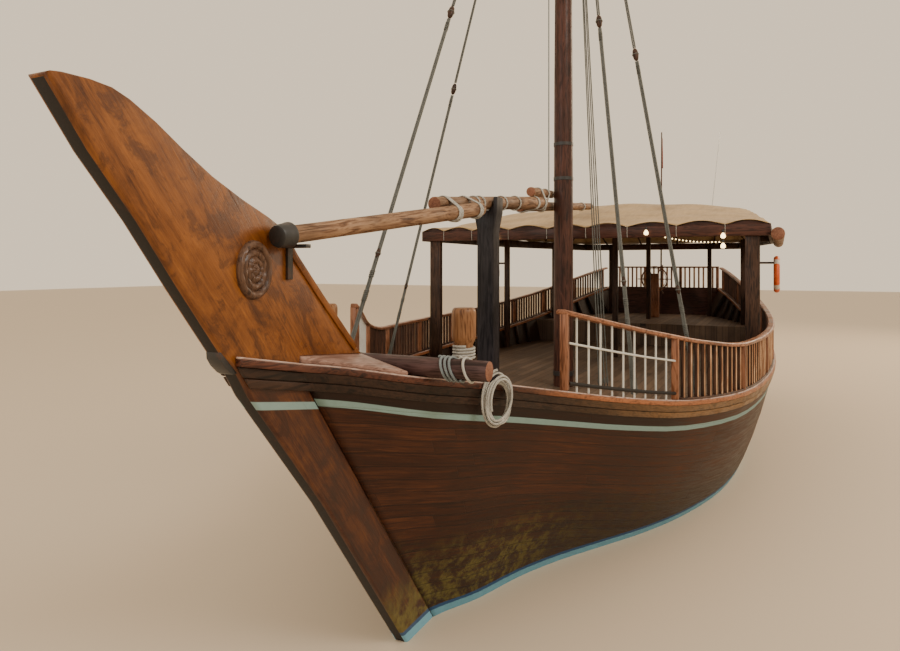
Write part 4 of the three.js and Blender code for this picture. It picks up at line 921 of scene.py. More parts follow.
class DHOW_OT_stage(bpy.types.Operator):
    """Makes the camera, the floor at the waterline and the soft light"""

    bl_idname = "dhow.stage"
    bl_label = "Stage"

    def execute(self, context):
        settings = context.scene.dhow_stage
        camera = bpy.data.objects.new("camera", bpy.data.cameras.new("camera"))
        context.scene.collection.objects.link(camera)
        context.scene.camera = camera
        camera.data.sensor_width = 36.0
        camera.data.lens = settings.focal
        camera.data.shift_y = -(PHOTO_MIDDLE_V - HORIZON_V) / PHOTO_WIDTH
        camera.data.clip_end = 400.0
        camera.location = EYE
        camera.rotation_mode = "QUATERNION"
        camera.rotation_quaternion = Vector(LOOK).to_track_quat("-Z", "Y")

        floor = bmesh.new()
        bmesh.ops.create_grid(floor, x_segments=8, y_segments=8, size=FLOOR_HALF)
        mesh = bpy.data.meshes.new("floor")
        floor.to_mesh(mesh)
        floor.free()
        ground = bpy.data.objects.new("floor", mesh)
        context.scene.collection.objects.link(ground)
        mesh.materials.append(finish("floor"))

        world = bpy.data.worlds.new("studio")
        context.scene.world = world
        world.use_nodes = True
        background = world.node_tree.nodes["Background"]
        background.inputs["Color"].default_value = WORLD_COLOUR
        background.inputs["Strength"].default_value = WORLD_STRENGTH
        lights = [
            ("key", (14.0, 20.0, 20.0), (2.0, 0.0, 1.5), 9.0, settings.key_power, (1.0, 0.93, 0.84)),
            ("fill", (26.0, -6.0, 12.0), (6.0, 0.0, 2.0), 14.0, settings.fill_power, (0.86, 0.93, 1.0)),
            ("rim", (-22.0, 14.0, 14.0), (0.0, 0.0, 3.0), 10.0, settings.key_power * 0.8, (1.0, 0.78, 0.55)),
        ]
        for name, place, target, size, power, colour in lights:
            light = bpy.data.objects.new(name, bpy.data.lights.new(name, "AREA"))
            context.scene.collection.objects.link(light)
            light.data.size = size
            light.data.energy = power
            light.data.color = colour
            light.location = place
            light.rotation_mode = "QUATERNION"
            light.rotation_quaternion = (Vector(target) - Vector(place)).to_track_quat("-Z", "Y")
        return {"FINISHED"}


HANK_THICK = 0.09
HANK_ANGLE = 0.385
HANK_LAYERS = [
    # half width, half height, shift across, shift up, lean of the turns, turns
    (0.174, 0.243, 0.0, 0.006, 0.04, 2.0),
    (0.154, 0.208, -0.008, -0.022, -0.26, 1.5),
    (0.154, 0.206, 0.010, 0.012, 0.28, 1.5),
    (0.156, 0.214, -0.004, -0.008, -0.06, 1.0),
]


def hank_route(length, width):
    """The rope of the hank: turns in four layers that lean across each other."""
    low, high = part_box("rope_hank")
    across = Vector((math.cos(HANK_ANGLE), -math.sin(HANK_ANGLE), 0))
    out = Vector((math.sin(HANK_ANGLE), math.cos(HANK_ANGLE), 0))
    centre = (low + high) / 2
    pitch = width * 1.25
    depth0 = -(HANK_THICK - width) / 2
    step = (HANK_THICK - width) / (len(HANK_LAYERS) - 1)
    points = []
    per_turn = 36
    begin = math.pi / 2
    for k, row in enumerate(HANK_LAYERS):
        last = k == len(HANK_LAYERS) - 1
        turns = row[5]
        coming = row if last else HANK_LAYERS[k + 1]
        total = int(per_turn * turns)
        for i in range(total):
            t = i / total
            angle = begin - 2 * math.pi * turns * t
            nest = (t if k % 2 == 0 else 1 - t) * turns * pitch
            late = 0.0 if last else max(0.0, (t * turns - (turns - 0.5)) / 0.5)
            late = late * late * (3 - 2 * late)
            nest = nest * (1 - late) + (coming[5] * pitch if k % 2 == 0 else 0.0) * late
            a, b, dx, dz, lean = (p * (1 - late) + q * late for p, q in zip(row[:5], coming))
            x, z = math.cos(angle) * (a - nest), math.sin(angle) * (b - nest)
            c, s = math.cos(lean), math.sin(lean)
            depth = depth0 + step * (k + late)
            points.append(centre + across * (x * c - z * s + dx) + UP * (x * s + z * c + dz) + out * depth)
        begin -= 2 * math.pi * turns
    return trimmed(points, length)


def trimmed(points, length):
    """The first part of a line of points, cut at that length."""
    kept = [points[0]]
    left = length
    for a, b in zip(points, points[1:]):
        step = (b - a).length
        if step >= left:
            kept.append(a.lerp(b, left / step))
            return kept
        kept.append(b)
        left -= step
    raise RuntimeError(f"the rope's route is {left:.2f} m short of its length")


class DHOW_OT_rope_hank(bpy.types.Operator):
    bl_idname = "dhow.rope_hank"
    bl_label = "Rope hank"

    def execute(self, context):
        rig = context.scene.dhow_rig
        route = hank_route(rig.hank_length, rig.rope_width)
        member = strand(route, rig.rope_width / 2, 10)
        hank = Piece().add(member, UP).done(
            "hank_rope", "white_rope", "rope", replaces=("rope_hank",), smooth=60.0)
        return {"FINISHED"}


FRAMES_FORE_X, FRAMES_AFT_X, FRAME_SPACING = 6.9, -7.3, 0.52
FRAME_WIDE, FRAME_DEEP = 0.09, 0.06


class DHOW_OT_planking(bpy.types.Operator):
    """Planks the sides and finishes wales, rails, decks and bulwarks"""

    bl_idname = "dhow.planking"
    bl_label = "Planking"

    def execute(self, context):
        settings = context.scene.dhow_hull
        for side, sign in SIDES:
            self.skin(side, sign, settings)
            dress(f"bulwark_{side}", "dark_wood")
            self.sheer(side, sign)
            self.timbers(side, sign)
        for node in ("hull", "foredeck", "poop_deck"):
            dress(node, "deck_wood")
        dressed_copy("keel", "dark_wood", "dark_wood", FORE, 0.01)
        dressed_copy("stern_post", "dark_wood", "dark_wood", (0.34, 0, 1), 0.008)
        dressed_copy("transom", "mast_wood", "planking", PORT, 0.008)
        return {"FINISHED"}

    def skin(self, side, sign, settings):
        """One skin of planks over the hull and the bulwark, from keel to rail."""
        columns = []
        for row in SMOOTH:
            top = row[3] - CAP_THICK
            heights = [row[4] + (DECK_Z - row[4]) * (i / WATER_ROWS) ** 2 for i in range(WATER_ROWS + 1)]
            heights += [top - WALE_DEPTH, top - 0.0005]
            columns.append([side_point(row, z) for z in heights])
        nx, nz = len(columns) - 1, len(columns[0]) - 1
        bm = bmesh.new()
        bmesh.ops.create_grid(bm, x_segments=nx, y_segments=nz, size=0.5)
        bm.verts.ensure_lookup_table()
        strake = bm.verts.layers.float_vector.new("strake")
        level = bm.verts.layers.float_vector.new("level")
        run = 0.0
        for i in range(nx + 1):
            girths = [0.0]
            for a, b in zip(columns[i], columns[i][1:]):
                girths.append(girths[-1] + (b - a).length)
            if i:
                run += (columns[i][-1] - columns[i - 1][-1]).length
            for j in range(nz + 1):
                vert = bm.verts[j * (nx + 1) + i]
                point = columns[i][j]
                vert.co = (point.x, sign * point.y, point.z)
                vert[strake] = (run, settings.strakes * girths[j] / girths[-1], 0)
                deeper = 0.045 * min(1.0, max(0.0, (8.5 - SMOOTH[i][1]) / 1.5))
                vert[level] = (SMOOTH[i][3] - point.z - deeper, point.z, 0)
        bmesh.ops.recalc_face_normals(bm, faces=bm.faces)
        bm.normal_update()
        mid = bm.faces[:][len(bm.faces) // 2]
        if mid.normal.y * sign < 0:
            bmesh.ops.reverse_faces(bm, faces=bm.faces)
            bm.normal_update()
        for vert in bm.verts:
            vert.co += vert.normal * 0.006
        mesh = bpy.data.meshes.new(f"planking_{side}")
        bm.to_mesh(mesh)
        bm.free()
        obj = place_mesh(mesh, f"planking_{side}", "planking", smooth=50.0)
        shell = obj.modifiers.new("thickness", "SOLIDIFY")
        shell.thickness = 0.01
        shell.offset = -1

    def sheer(self, side, sign):
        """Cap rail of two boards with a groove between, and the wale as two strakes."""
        piece = Piece()
        rows = [STEM_END, *SMOOTH]

        def board(in_by, out_by, low, high):
            """Rings of a board of the cap, let in from its inner and outer edge."""
            rings = []
            for _, x, half, top, _, _ in rows:
                inner = max(half - CAP_IN, KEEL_HALF + 0.0003)
                outer = max(half + CAP_OUT, inner + CAP_LEAST)
                inner, outer = inner + in_by, outer - out_by
                corners = ((inner, low), (outer, low), (outer, high), (inner, high))
                rings.append([(x, sign * y, top + z) for y, z in corners])
            return rings
        # The lower board takes cap_edge, partly painted shade at the bow and painted highlight aft; the top
        # board the pale cap_wood, partly painted light on its top.
        piece.add(run_through(board(0.0, 0.0, -CAP_THICK, -0.012), 0.008), FORE, 1)
        piece.add(run_through(board(0.004, 0.014, -0.014, 0.0), 0.005), FORE)
        piece.done(
            f"cap_rail_{side}_boards", ("cap_wood", "cap_edge"), "rail_wood", replaces=(f"cap_rail_{side}",))
        wale = Piece()
        # The wale's wood is near black at the bow as painted shade, and paler aft as painted light.
        for low, high, proud in ((-0.21, -0.142, 0.024), (-0.136, -0.0605, 0.028)):
            rings = []
            for r in rows:
                top = r[3]
                points = []
                for z, off in ((low, 0.0003), (high, 0.0003), (high, proud), (low, proud)):
                    p = side_point(r, top + z)
                    points.append((p.x, sign * (p.y + off), p.z))
                rings.append(points)
            wale.add(run_through(rings, 0.008), FORE)
        wale.done(f"wale_{side}_strakes", "wale_wood", "dark_wood", replaces=(f"wale_{side}",))

    def timbers(self, side, sign):
        """Frame heads up the inside of the bulwark."""
        piece = Piece()
        x = FRAMES_FORE_X
        while x > FRAMES_AFT_X:
            deck = FOREDECK_Z if x > 4.5 else (POOP_Z if x < -3.6 else DECK_Z)
            top = rail_z(x) - CAP_THICK - 0.002
            if top - deck > 0.16:
                foot = deck + 0.001
                low, high = (
                    sign * (min(inner_side(x + d, z) for d in (-FRAME_WIDE / 2, FRAME_WIDE / 2)) - 0.031)
                    for z in (foot, top))
                piece.add(beam((x, low, foot), (x, high, top), FRAME_WIDE, FRAME_DEEP, 0.01, PORT), UP)
            x -= FRAME_SPACING
        piece.done(f"frame_heads_{side}", "dark_wood", "dark_wood")


STEM_TRIM = [
    (8.66, 3.554), (8.59, 3.468), (8.511, 3.374), (8.246, 3.112), (7.873, 2.757), (7.80, 2.692),
]
STEM_IRON = [
    (9.192, 2.80), (9.188, 2.75), (9.158, 2.705), (9.108, 2.66), (9.082, 2.645), (9.02, 2.655), (9.13, 2.79),
]


class DHOW_OT_stem(bpy.types.Operator):
    """Finishes the stem board, its carved rosettes, cover board and iron work"""

    bl_idname = "dhow.stem"
    bl_label = "Stem"

    def execute(self, context):
        self.board()
        self.trim()
        for side, sign in SIDES:
            self.rosette(side, sign)
        # The cover wood's pale brown is partly a painted reflection on its top.
        dressed_copy("bow_cover", "cover_wood", "rail_wood", FORE, 0.008)
        dressed_copy("stem_bracket", "black_iron", "black_iron", UP, 0.003)
        return {"FINISHED"}

    def board(self):
        bm = merged_copy("stem_post", 0.0)
        rake = Vector((0.788, 0, -0.616))
        # The leading face takes black paint: partly a tarred edge, partly painted shade on that face.
        for face in bm.faces:
            face.material_index = 1 if face.normal.dot(rake) > 0.86 else 0
        edges = [e for e in bm.edges if len(e.link_faces) == 2 and e.calc_face_angle(0.0) > math.radians(50)]
        leading = [e for e in edges if any(f.material_index for f in e.link_faces)]
        for chosen, offset in ((leading, 0.026), ([e for e in edges if e not in leading], 0.012)):
            bmesh.ops.bevel(
                bm, geom=[e for e in chosen if e.is_valid], offset=offset, offset_type="OFFSET", segments=3,
                profile=0.5, affect="EDGES", material=0, clamp_overlap=True)
        Piece().add(bm, (0.6, 0, 0.78)).done(
            "stem_board", ("stem_board", "black_paint"), "stem_wood", replaces=("stem_post",), smooth=40.0)

    def trim(self):
        """Bead down the after edge of the head, and the iron band over its fore edge at the rail."""
        piece = Piece()
        for sign in (1, -1):
            rings = []
            for i, (x, z) in enumerate(STEM_TRIM):
                a = STEM_TRIM[max(i - 1, 0)]
                b = STEM_TRIM[min(i + 1, len(STEM_TRIM) - 1)]
                line = Vector((b[0] - a[0], 0, b[1] - a[1])).normalized()
                inward = Vector((line.z, 0, -line.x))
                if inward.x < 0:
                    inward = -inward
                corners = ((0.001, 0.068), (0.05, 0.068), (0.05, 0.082), (0.001, 0.086))
                rings.append([Vector((x, sign * y, z)) + inward * d for d, y in corners])
            piece.add(run_through(rings, 0.004), (0.6, 0, 0.6))
        piece.done("stem_trim", "stem_board", "stem_wood")
        iron = Piece()
        iron.add(plate(STEM_IRON, -0.058, 0.058, 0.006), UP)
        iron.done("stem_iron", "black_iron", "black_iron")

    def rosette(self, side, sign):
        """Carved boss: mouldings of rising and falling rings round a spiral of petals."""
        low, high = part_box(f"rosette_{side}")
        centre = (low + high) / 2
        base = KEEL_HALF + 0.0005
        profile = [
            (0.0, 0.030), (0.10, 0.036), (0.17, 0.026), (0.21, 0.020), (0.27, 0.031), (0.34, 0.033),
            (0.40, 0.021), (0.45, 0.015), (0.52, 0.028), (0.60, 0.031), (0.66, 0.019), (0.71, 0.013),
            (0.77, 0.030), (0.86, 0.036), (0.94, 0.028), (0.985, 0.012), (1.0, 0.0), (0.0, 0.0),
        ]
        bm = bmesh.new()
        points = [bm.verts.new((r, 0, h)) for r, h in profile]
        edges = [bm.edges.new(pair) for pair in zip(points, points[1:])]
        bmesh.ops.spin(
            bm, geom=points + edges, cent=(0, 0, 0), axis=(0, 0, 1), angle=2 * math.pi, steps=96,
            use_merge=True, use_duplicate=False)
        bmesh.ops.remove_doubles(bm, verts=bm.verts, dist=1e-5)
        bmesh.ops.recalc_face_normals(bm, faces=bm.faces)
        for vert in bm.verts:
            r = math.hypot(vert.co.x, vert.co.y)
            if vert.co.z > 0.014 and 0.05 < r < 0.93:
                angle = math.atan2(vert.co.y, vert.co.x)
                vert.co.z += 0.0028 * math.sin(10 * angle + 7.0 * r)
        shape = Matrix.Diagonal((0.15, 0.185, 1, 1))
        turn = Matrix(((1, 0, 0), (0, 0, sign), (0, 1, 0))).to_4x4()
        spot = Matrix.Translation((centre.x, sign * base, centre.z))
        bmesh.ops.transform(bm, matrix=spot @ turn @ shape, verts=bm.verts)
        bmesh.ops.recalc_face_normals(bm, faces=bm.faces)
        Piece().add(bm, UP).done(
            f"rosette_{side}_carving", "rosette_wood", "dark_wood",
            replaces=(f"rosette_{side}",), smooth=60.0)


class DHOW_OT_foredeck_gear(bpy.types.Operator):
    """Shapes the cross log, the bollards, the crutch and the rope made fast to them"""

    bl_idname = "dhow.foredeck_gear"
    bl_label = "Foredeck gear"

    def execute(self, context):
        rope = context.scene.dhow_rig.rope_width
        self.log()
        for side, sign in SIDES:
            self.bollard(side, sign, rope)
        dressed_copy("crutch_post", "crutch_wood", "mast_wood", UP, 0.014)
        self.turns(rope)
        return {"FINISHED"}

    def log(self):
        """Hewn log: eight worn flats, a rough girth and sawn ends."""
        low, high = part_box("cross_log")
        centre = (low + high) / 2
        radius = (high.z - low.z) / 2
        rings = []
        count = 22
        for i in range(count + 1):
            y = low.y + (high.y - low.y) * i / count
            ring = []
            for k in range(24):
                a = 2 * math.pi * k / 24
                flat = 1.0 - 0.028 * (1 - abs(math.cos(4 * a)))
                rough = 1.0 - 0.012 * (1 + math.sin(3.1 * y + 2 * a) * math.sin(7.3 * y - a))
                r = radius * flat * rough * (0.985 if i in (0, count) else 1.0)
                ring.append((centre.x + math.cos(a) * r, y, centre.z + math.sin(a) * r))
            rings.append(ring)
        bm = run_through(rings)
        for face in bm.faces:
            face.material_index = 1 if abs(face.normal.y) > 0.9 else 0
        ends = [e for e in bm.edges if e.calc_face_angle(0.0) > math.radians(60)]
        bmesh.ops.bevel(bm, geom=ends, offset=0.008, segments=2, profile=0.5, affect="EDGES", material=-1)
        Piece().add(bm, PORT).done(
            "cross_log_timber", ("log_wood", "end_grain"), "dark_wood", replaces=("cross_log",), smooth=30.0)

    def bollard(self, side, sign, rope):
        low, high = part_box(f"bollard_{side}")
        centre = (low + high) / 2
        foot = Vector((centre.x, centre.y, low.z))
        head = Vector((centre.x, centre.y, high.z))
        tall = head.z - foot.z
        neck = (tall - 0.29) / tall
        profile = [
            (0.0, 0.0), (0.072, 0.0), (0.075, 0.02), (0.075, neck - 0.02), (0.078, neck),
            (0.094, neck + 0.06), (0.099, neck + 0.1), (0.1, 0.9), (0.099, 0.95), (0.092, 0.982),
            (0.08, 1.0), (0.0, 1.0),
        ]
        piece = Piece().add(turned(profile, foot, head, 28), UP)
        piece.done(f"bollard_{side}_timber", "bollard_wood", "rail_wood", replaces=(f"bollard_{side}",))
        wraps = Piece()
        start = foot + UP * (tall * neck - 0.13)
        radius = 0.075 + rope / 2
        wraps.add(strand(coil_points(start, start + UP * 0.112, radius, 4.6, 22), rope / 2), UP)
        wraps.done(f"bollard_{side}_turns", "white_rope", "rope", smooth=60.0)

    def turns(self, rope):
        """Rope made fast round the log beside the port bollard."""
        low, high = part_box("cross_log")
        centre = (low + high) / 2
        radius = (high.z - low.z) / 2 + rope / 2 - 0.001
        piece = Piece()
        for start, pitch, count, skin in ((0.70, 0.036, 3.6, 1), (0.875, 0.05, 1.3, 0)):
            points = []
            for i in range(int(count * 24) + 1):
                a = 2 * math.pi * i / 24 + 1.6
                y = start + pitch * i / 24 - 0.04 * math.sin(a)
                points.append(Vector((centre.x + math.cos(a) * radius, y, centre.z + math.sin(a) * radius)))
            piece.add(strand(points, rope / 2), PORT, skin)
        piece.done("log_turns", ("white_rope", "grey_rope"), "rope", smooth=60.0)


MAST_FOOT, MAST_WAIST, MAST_TOP, MAST_WAIST_Z = 0.152, 0.142, 0.095, 6.0
MAST_BANDS = [
    # height, radius, depth
    (1.62, 0.154, 0.07), (4.62, 0.1475, 0.05), (5.15, 0.1465, 0.05), (12.4, 0.099, 0.06),
]
SEIZINGS = [
    # place along the boat, turns, the two spars bound
    (6.32, 6, ("yard_fore_spar", "yard_middle_spar")),
    (5.82, 5, ("yard_fore_spar", "yard_middle_spar")),
    (3.285, 4, ("yard_middle_spar", "yard_aft_spar")),
    (2.95, 4, ("yard_middle_spar", "yard_top_chock")),
    (2.42, 3, ("yard_aft_spar", "yard_top_chock")),
]
SINGLE_TURNS = [
    # spar, places along the boat, turns
    ("yard_middle_spar", (5.52, 5.36, 4.62, 4.1), 2.1),
    ("yard_aft_spar", (1.0, 0.1), 3.1),
]


class DHOW_OT_spars(bpy.types.Operator):
    """Shapes the mast, the yard of lashed spars and the stowed spar"""

    bl_idname = "dhow.spars"
    bl_label = "Mast and yard"

    SPARS = {
        "yard_fore_spar": ((8.70, 0.160, 3.50), (5.65, 0.1789, 3.8963), 0.060, 0.076),
        "yard_middle_spar": ((6.50, 0.075, 3.886), (2.78, -0.0805, 4.215), 0.068, 0.090),
        "yard_aft_spar": ((3.30, -0.235, 4.125), (-0.56, -0.235, 4.432), 0.073, 0.062),
        "yard_top_chock": ((3.35, -0.062, 4.319), (1.85, -0.235, 4.429), 0.065, 0.060),
    }

    def execute(self, context):
        self.mast()
        for name, (start, end, r0, r1) in self.SPARS.items():
            self.spar(name, Vector(start), Vector(end), r0, r1)
        self.lashings(context.scene.dhow_rig.rope_width)
        self.cap()
        low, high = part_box("stowed_spar")
        y, z = (low.y + high.y) / 2, (low.z + high.z) / 2
        bm = self.pole(Vector((low.x, y, z)), Vector((high.x, y, z)), 0.093, 0.094)
        Piece().add(bm, FORE).done(
            "stowed_spar_timber", ("spar_wood", "end_grain"), "spar_wood",
            replaces=("stowed_spar",), smooth=30.0)
        return {"FINISHED"}

    def pole(self, start, end, r0, r1, sides=24):
        """Hand-shaved pole: a slight waver in its girth, eased sawn ends."""
        line = frame_of(start, end)
        length = (end - start).length
        count = max(6, int(length / 0.22))
        rings = []
        for i in range(count + 1):
            t = i / count
            r = r0 + (r1 - r0) * t
            ring = []
            for k in range(sides):
                a = 2 * math.pi * k / sides
                wave = math.sin(5.1 * t * length + 2 * a) * math.sin(2.3 * t * length - a)
                girth = r * (1.0 - 0.012 * (1 + wave))
                ring.append(line @ Vector(((t - 0.5) * length, math.cos(a) * girth, math.sin(a) * girth)))
            rings.append(ring)
        bm = run_through(rings)
        axis = (end - start).normalized()
        for face in bm.faces:
            face.material_index = 1 if abs(face.normal.dot(axis)) > 0.9 else 0
        ends = [e for e in bm.edges if e.calc_face_angle(0.0) > math.radians(60)]
        bmesh.ops.bevel(bm, geom=ends, offset=0.01, segments=2, profile=0.5, affect="EDGES", material=-1)
        return bm

    def mast(self):
        low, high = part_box("mast")
        centre = (low + high) / 2
        rows = [(0.0, 0.0), (0.1515, 0.0), (0.1515, 0.02)]
        total = high.z - low.z
        for i in range(1, 24):
            z = low.z + total * i / 24
            if z < MAST_WAIST_Z:
                r = MAST_FOOT + (MAST_WAIST - MAST_FOOT) * (z - low.z) / (MAST_WAIST_Z - low.z)
            else:
                r = MAST_WAIST + (MAST_TOP - MAST_WAIST) * (z - MAST_WAIST_Z) / (high.z - MAST_WAIST_Z)
            rows.append((r * 0.997, (z - low.z) / total))
        rows += [(0.094, 0.998), (0.085, 1.0), (0.0, 1.0)]
        piece = Piece()
        base = Vector((centre.x, centre.y, low.z))
        top = Vector((centre.x, centre.y, high.z))
        piece.add(turned(rows, base, top, 32), UP)
        piece.done("mast_pole", "mast_wood", "mast_wood", replaces=("mast",))
        irons = Piece()
        for z, r, tall in MAST_BANDS:
            inner, outer = r - 0.004, r + 0.004
            profile = [(inner, 0.0), (outer, 0.0), (outer, 1.0), (inner, 1.0), (inner, 0.0)]
            irons.add(turned(profile, (centre.x, 0, z), (centre.x, 0, z + tall), 32), UP)
        irons.done("mast_bands", "black_iron", "black_iron")
        dressed_copy("masthead_block", "dark_wood", "dark_wood", UP, 0.012)

    def spar(self, name, start, end, r0, r1):
        bm = self.pole(start, end, r0, r1)
        Piece().add(bm, end - start).done(
            f"{name}_timber", ("spar_wood", "end_grain"), "spar_wood", "yard", (name,), 30.0)

    def point_on(self, name, x):
        start, end, r0, r1 = self.SPARS[name]
        t = (start[0] - x) / (start[0] - end[0])
        return Vector(start).lerp(Vector(end), t), r0 + (r1 - r0) * t

    def lashings(self, rope):
        """Rope seizings that bind the spars, and single turns left round them."""
        piece = Piece()
        thin = rope * 0.7
        for x, turns, spars in SEIZINGS:
            (a, ra), (b, rb) = (self.point_on(s, x) for s in spars)
            route = self.seizing(a, ra + thin / 2, b, rb + thin / 2, turns, thin)
            piece.add(strand(route, thin / 2, 6), FORE)
        for name, spots, turns in SINGLE_TURNS:
            for x in spots:
                a, ra = self.point_on(name, x)
                route = coil_points(a, a - FORE * thin * (turns + 0.1), ra + thin / 2, turns, 20)
                piece.add(strand(route, thin / 2, 6), FORE)
        piece.done("yard_lashings", "white_rope", "rope", "yard", smooth=60.0)

    def seizing(self, a, ra, b, rb, turns, thin):
        """Winding round two spars at once: a belt round both, stepping along at each turn."""
        gap = Vector((0, b.y - a.y, b.z - a.z))
        across = gap.normalized()
        up = FORE.cross(across)
        points = []
        per = 24
        for i in range(turns * per + 1):
            t = i / per
            angle = 2 * math.pi * t
            c, s = math.cos(angle), math.sin(angle)
            centre, r = (b, rb) if c > 0 else (a, ra)
            point = Vector((a.x, centre.y, centre.z)) + across * (c * r) + up * (s * r)
            points.append(point - FORE * thin * 1.05 * t)
        return points

    def cap(self):
        """Round black cap on the fore end, with a flange."""
        start, end, r0, _ = self.SPARS["yard_fore_spar"]
        axis = (Vector(end) - Vector(start)).normalized()
        back = Vector(start) - axis * 0.0003
        front = back - axis * 0.12
        profile = [
            (0.0, 0.0), (0.05, 0.0), (0.068, 0.06), (0.0755, 0.2), (0.079, 0.6), (0.084, 0.86),
            (0.085, 0.9), (0.085, 0.985), (0.082, 1.0), (0.0, 1.0),
        ]
        Piece().add(turned(profile, front, back, 36), axis).done(
            "yard_cap_iron", "black_iron", "black_iron", "yard", ("yard_cap",))


SHROUDS = {
    # foot x, side, head x, y and z
    "shroud_port_fore": (5.0, 1, 2.095, 0.075, 12.3),
    "shroud_port_aft": (4.0, 1, 2.045, 0.112, 12.1),
    "shroud_starboard_fore": (6.75, -1, 2.078, -0.205, 12.25),
    "shroud_starboard_aft": (3.1, -1, 2.06, -0.105, 12.52),
}


FALLS = [
    # place of the eye bolt along and across the deck, height at the masthead
    (1.95, 0.54, 12.0),
    (1.9, 0.57, 11.85),
    (1.84, 0.6, 11.9),
    (1.78, 0.63, 11.8),
]
FORE_BLOCK_Z, AFT_BLOCK_Z = 6.35, 6.05


class DHOW_OT_rigging(bpy.types.Operator):
    """Rigs the shrouds with their blocks and lashings, and the halyard"""

    bl_idname = "dhow.rigging"
    bl_label = "Rigging"

    def execute(self, context):
        for name, row in SHROUDS.items():
            self.shroud(name, *row)
        self.falls()
        self.halyard()
        return {"FINISHED"}

    def shroud(self, name, x, sign, hx, hy, hz):
        """A stay: two parts below its block and two above it, with a tackle lashed at the rail."""
        foot = Vector((x, sign * (rail_half(x) - 0.095), rail_z(x) + 0.012))
        head = Vector((hx, hy, hz))
        line = (head - foot).normalized()
        side = line.cross(FORE).normalized()
        level = FORE_BLOCK_Z if "fore" in name else AFT_BLOCK_Z
        block = foot + line * ((level - foot.z) / line.z)
        piece = Piece()
        for off in (-0.011, 0.011):
            ends = [block + line * 0.1 + side * off, head + side * off * 0.5]
            piece.add(strand(ends, 0.01, 8, 0.07), line)
        for off in (-0.011, 0.011):
            ends = [foot + line * 0.02 + side * off, block - line * 0.1 + side * off]
            piece.add(strand(ends, 0.0125, 8, 0.09), line)
        for off in (-0.03, 0.03):
            ends = [foot + line * 0.03 + side * off, foot + line * 0.75 + side * off * 0.25]
            piece.add(strand(ends, 0.008, 6, 0.06), line)
        for t, turns in ((0.72, 6), (0.98, 4), (0.2, 5)):
            a = foot + line * t
            piece.add(strand(coil_points(a, a + line * 0.02 * turns, 0.021, turns, 10), 0.008, 6, 0.06), line)
        a = block - line * 0.16
        piece.add(strand(coil_points(a, a - line * 0.12, 0.02, 6, 10), 0.007, 6, 0.06), line)
        self.block(piece, block, line, side, 0.09, 1)
        self.block(piece, foot + line * 1.25, line, side, 0.06, 1)
        piece.done(f"{name}_line", ("stay_rope", "dark_wood"), "rope", replaces=(name,), smooth=50.0)

    def falls(self):
        """Running lines from the masthead to eye bolts in the deck abaft the mast."""
        piece = Piece()
        for x, y, z in FALLS:
            foot = Vector((x, y, DECK_Z + 0.001))
            head = Vector((2.0 - (1.93 - x) * 0.3, 0.11, z))
            line = (head - foot).normalized()
            piece.add(rod(foot, foot + UP * 0.006, 0.022, None, 16, 0.002), UP, 1)
            piece.add(hoop(foot + UP * 0.028, PORT, 0.018, 0.005, 20, 8), UP, 1)
            piece.add(strand([foot + UP * 0.046 + line * 0.004, head], 0.0095, 6, 0.06), line)
            whipping = coil_points(foot + line * 0.06, foot + line * 0.13, 0.0145, 6, 10)
            piece.add(strand(whipping, 0.005, 6), line)
        piece.done("mast_falls", ("stay_rope", "black_iron"), "rope", smooth=60.0)

    def block(self, piece, centre, line, side, size, skin):
        """Wooden block: an oval shell of two cheeks with a sheave pin and a rope strop round it."""
        oval = [
            (0.0, 0.0), (0.42, 0.03), (0.8, 0.16), (1.0, 0.4),
            (1.0, 0.6), (0.8, 0.84), (0.42, 0.97), (0.0, 1.0),
        ]
        profile = [(r * size * 0.42, t) for r, t in oval]
        piece.add(turned(profile, centre - line * size, centre + line * size, 16), line, skin)
        reach = side * size * 0.46
        piece.add(rod(centre - reach, centre + reach, size * 0.1, None, 10, 0.002), side, skin)
        rings = coil_points(centre - line * 0.003, centre + line * 0.003, size * 0.44, 1.05, 16)
        piece.add(strand(rings, 0.006, 6), line, 0)

    def halyard(self):
        """Two falls from the masthead block to the yard."""
        low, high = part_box("halyard")
        mid = (low + high) / 2
        piece = Piece()
        for off in (-0.007, 0.007):
            points = [Vector((mid.x + off, mid.y, low.z + (high.z - low.z) * i / 12)) for i in range(13)]
            piece.add(strand(points, 0.0065, 8, 0.05), UP)
        line = piece.done("halyard_falls", "grey_rope", "rope", "yard", ("halyard",), 50.0)
        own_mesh(line)


def railing_top(x):
    """Top of the railing: it lifts towards the bow."""
    rows = [(6.0, 2.893), (5.65, 2.81), (4.95, 2.643), (4.2, 2.488), (3.5, 2.387), (3.05, 2.35), (1.8, 2.347)]
    if x >= rows[0][0]:
        return rows[0][1]
    for (x0, z0), (x1, z1) in zip(rows, rows[1:]):
        if x >= x1:
            return z0 + (z1 - z0) * (x0 - x) / (x0 - x1)
    return rail_z(x) + 0.59


RAIL_FORE, RAIL_AFT = 6.0, -7.7
FORE_POST_X, BALUSTERS_X, SILL_FORE = 5.96, 4.49, 4.44
BAY, SPACING, PIPE_SPACING = 1.5, 0.125, 0.147
POST, BAR, PIPE = 0.076, 0.046, 0.011
RAIL_UNDER = 0.03
TOP_SECTION = (
    # across and up, from the middle of the top rail's upper face
    (-0.05, -0.045), (0.05, -0.045), (0.05, -0.014), (0.036, 0.0), (-0.036, 0.0), (-0.05, -0.014),
)
SILL_SECTION = ((-0.045, 0.0), (0.045, 0.0), (0.04, 0.022), (-0.04, 0.022))


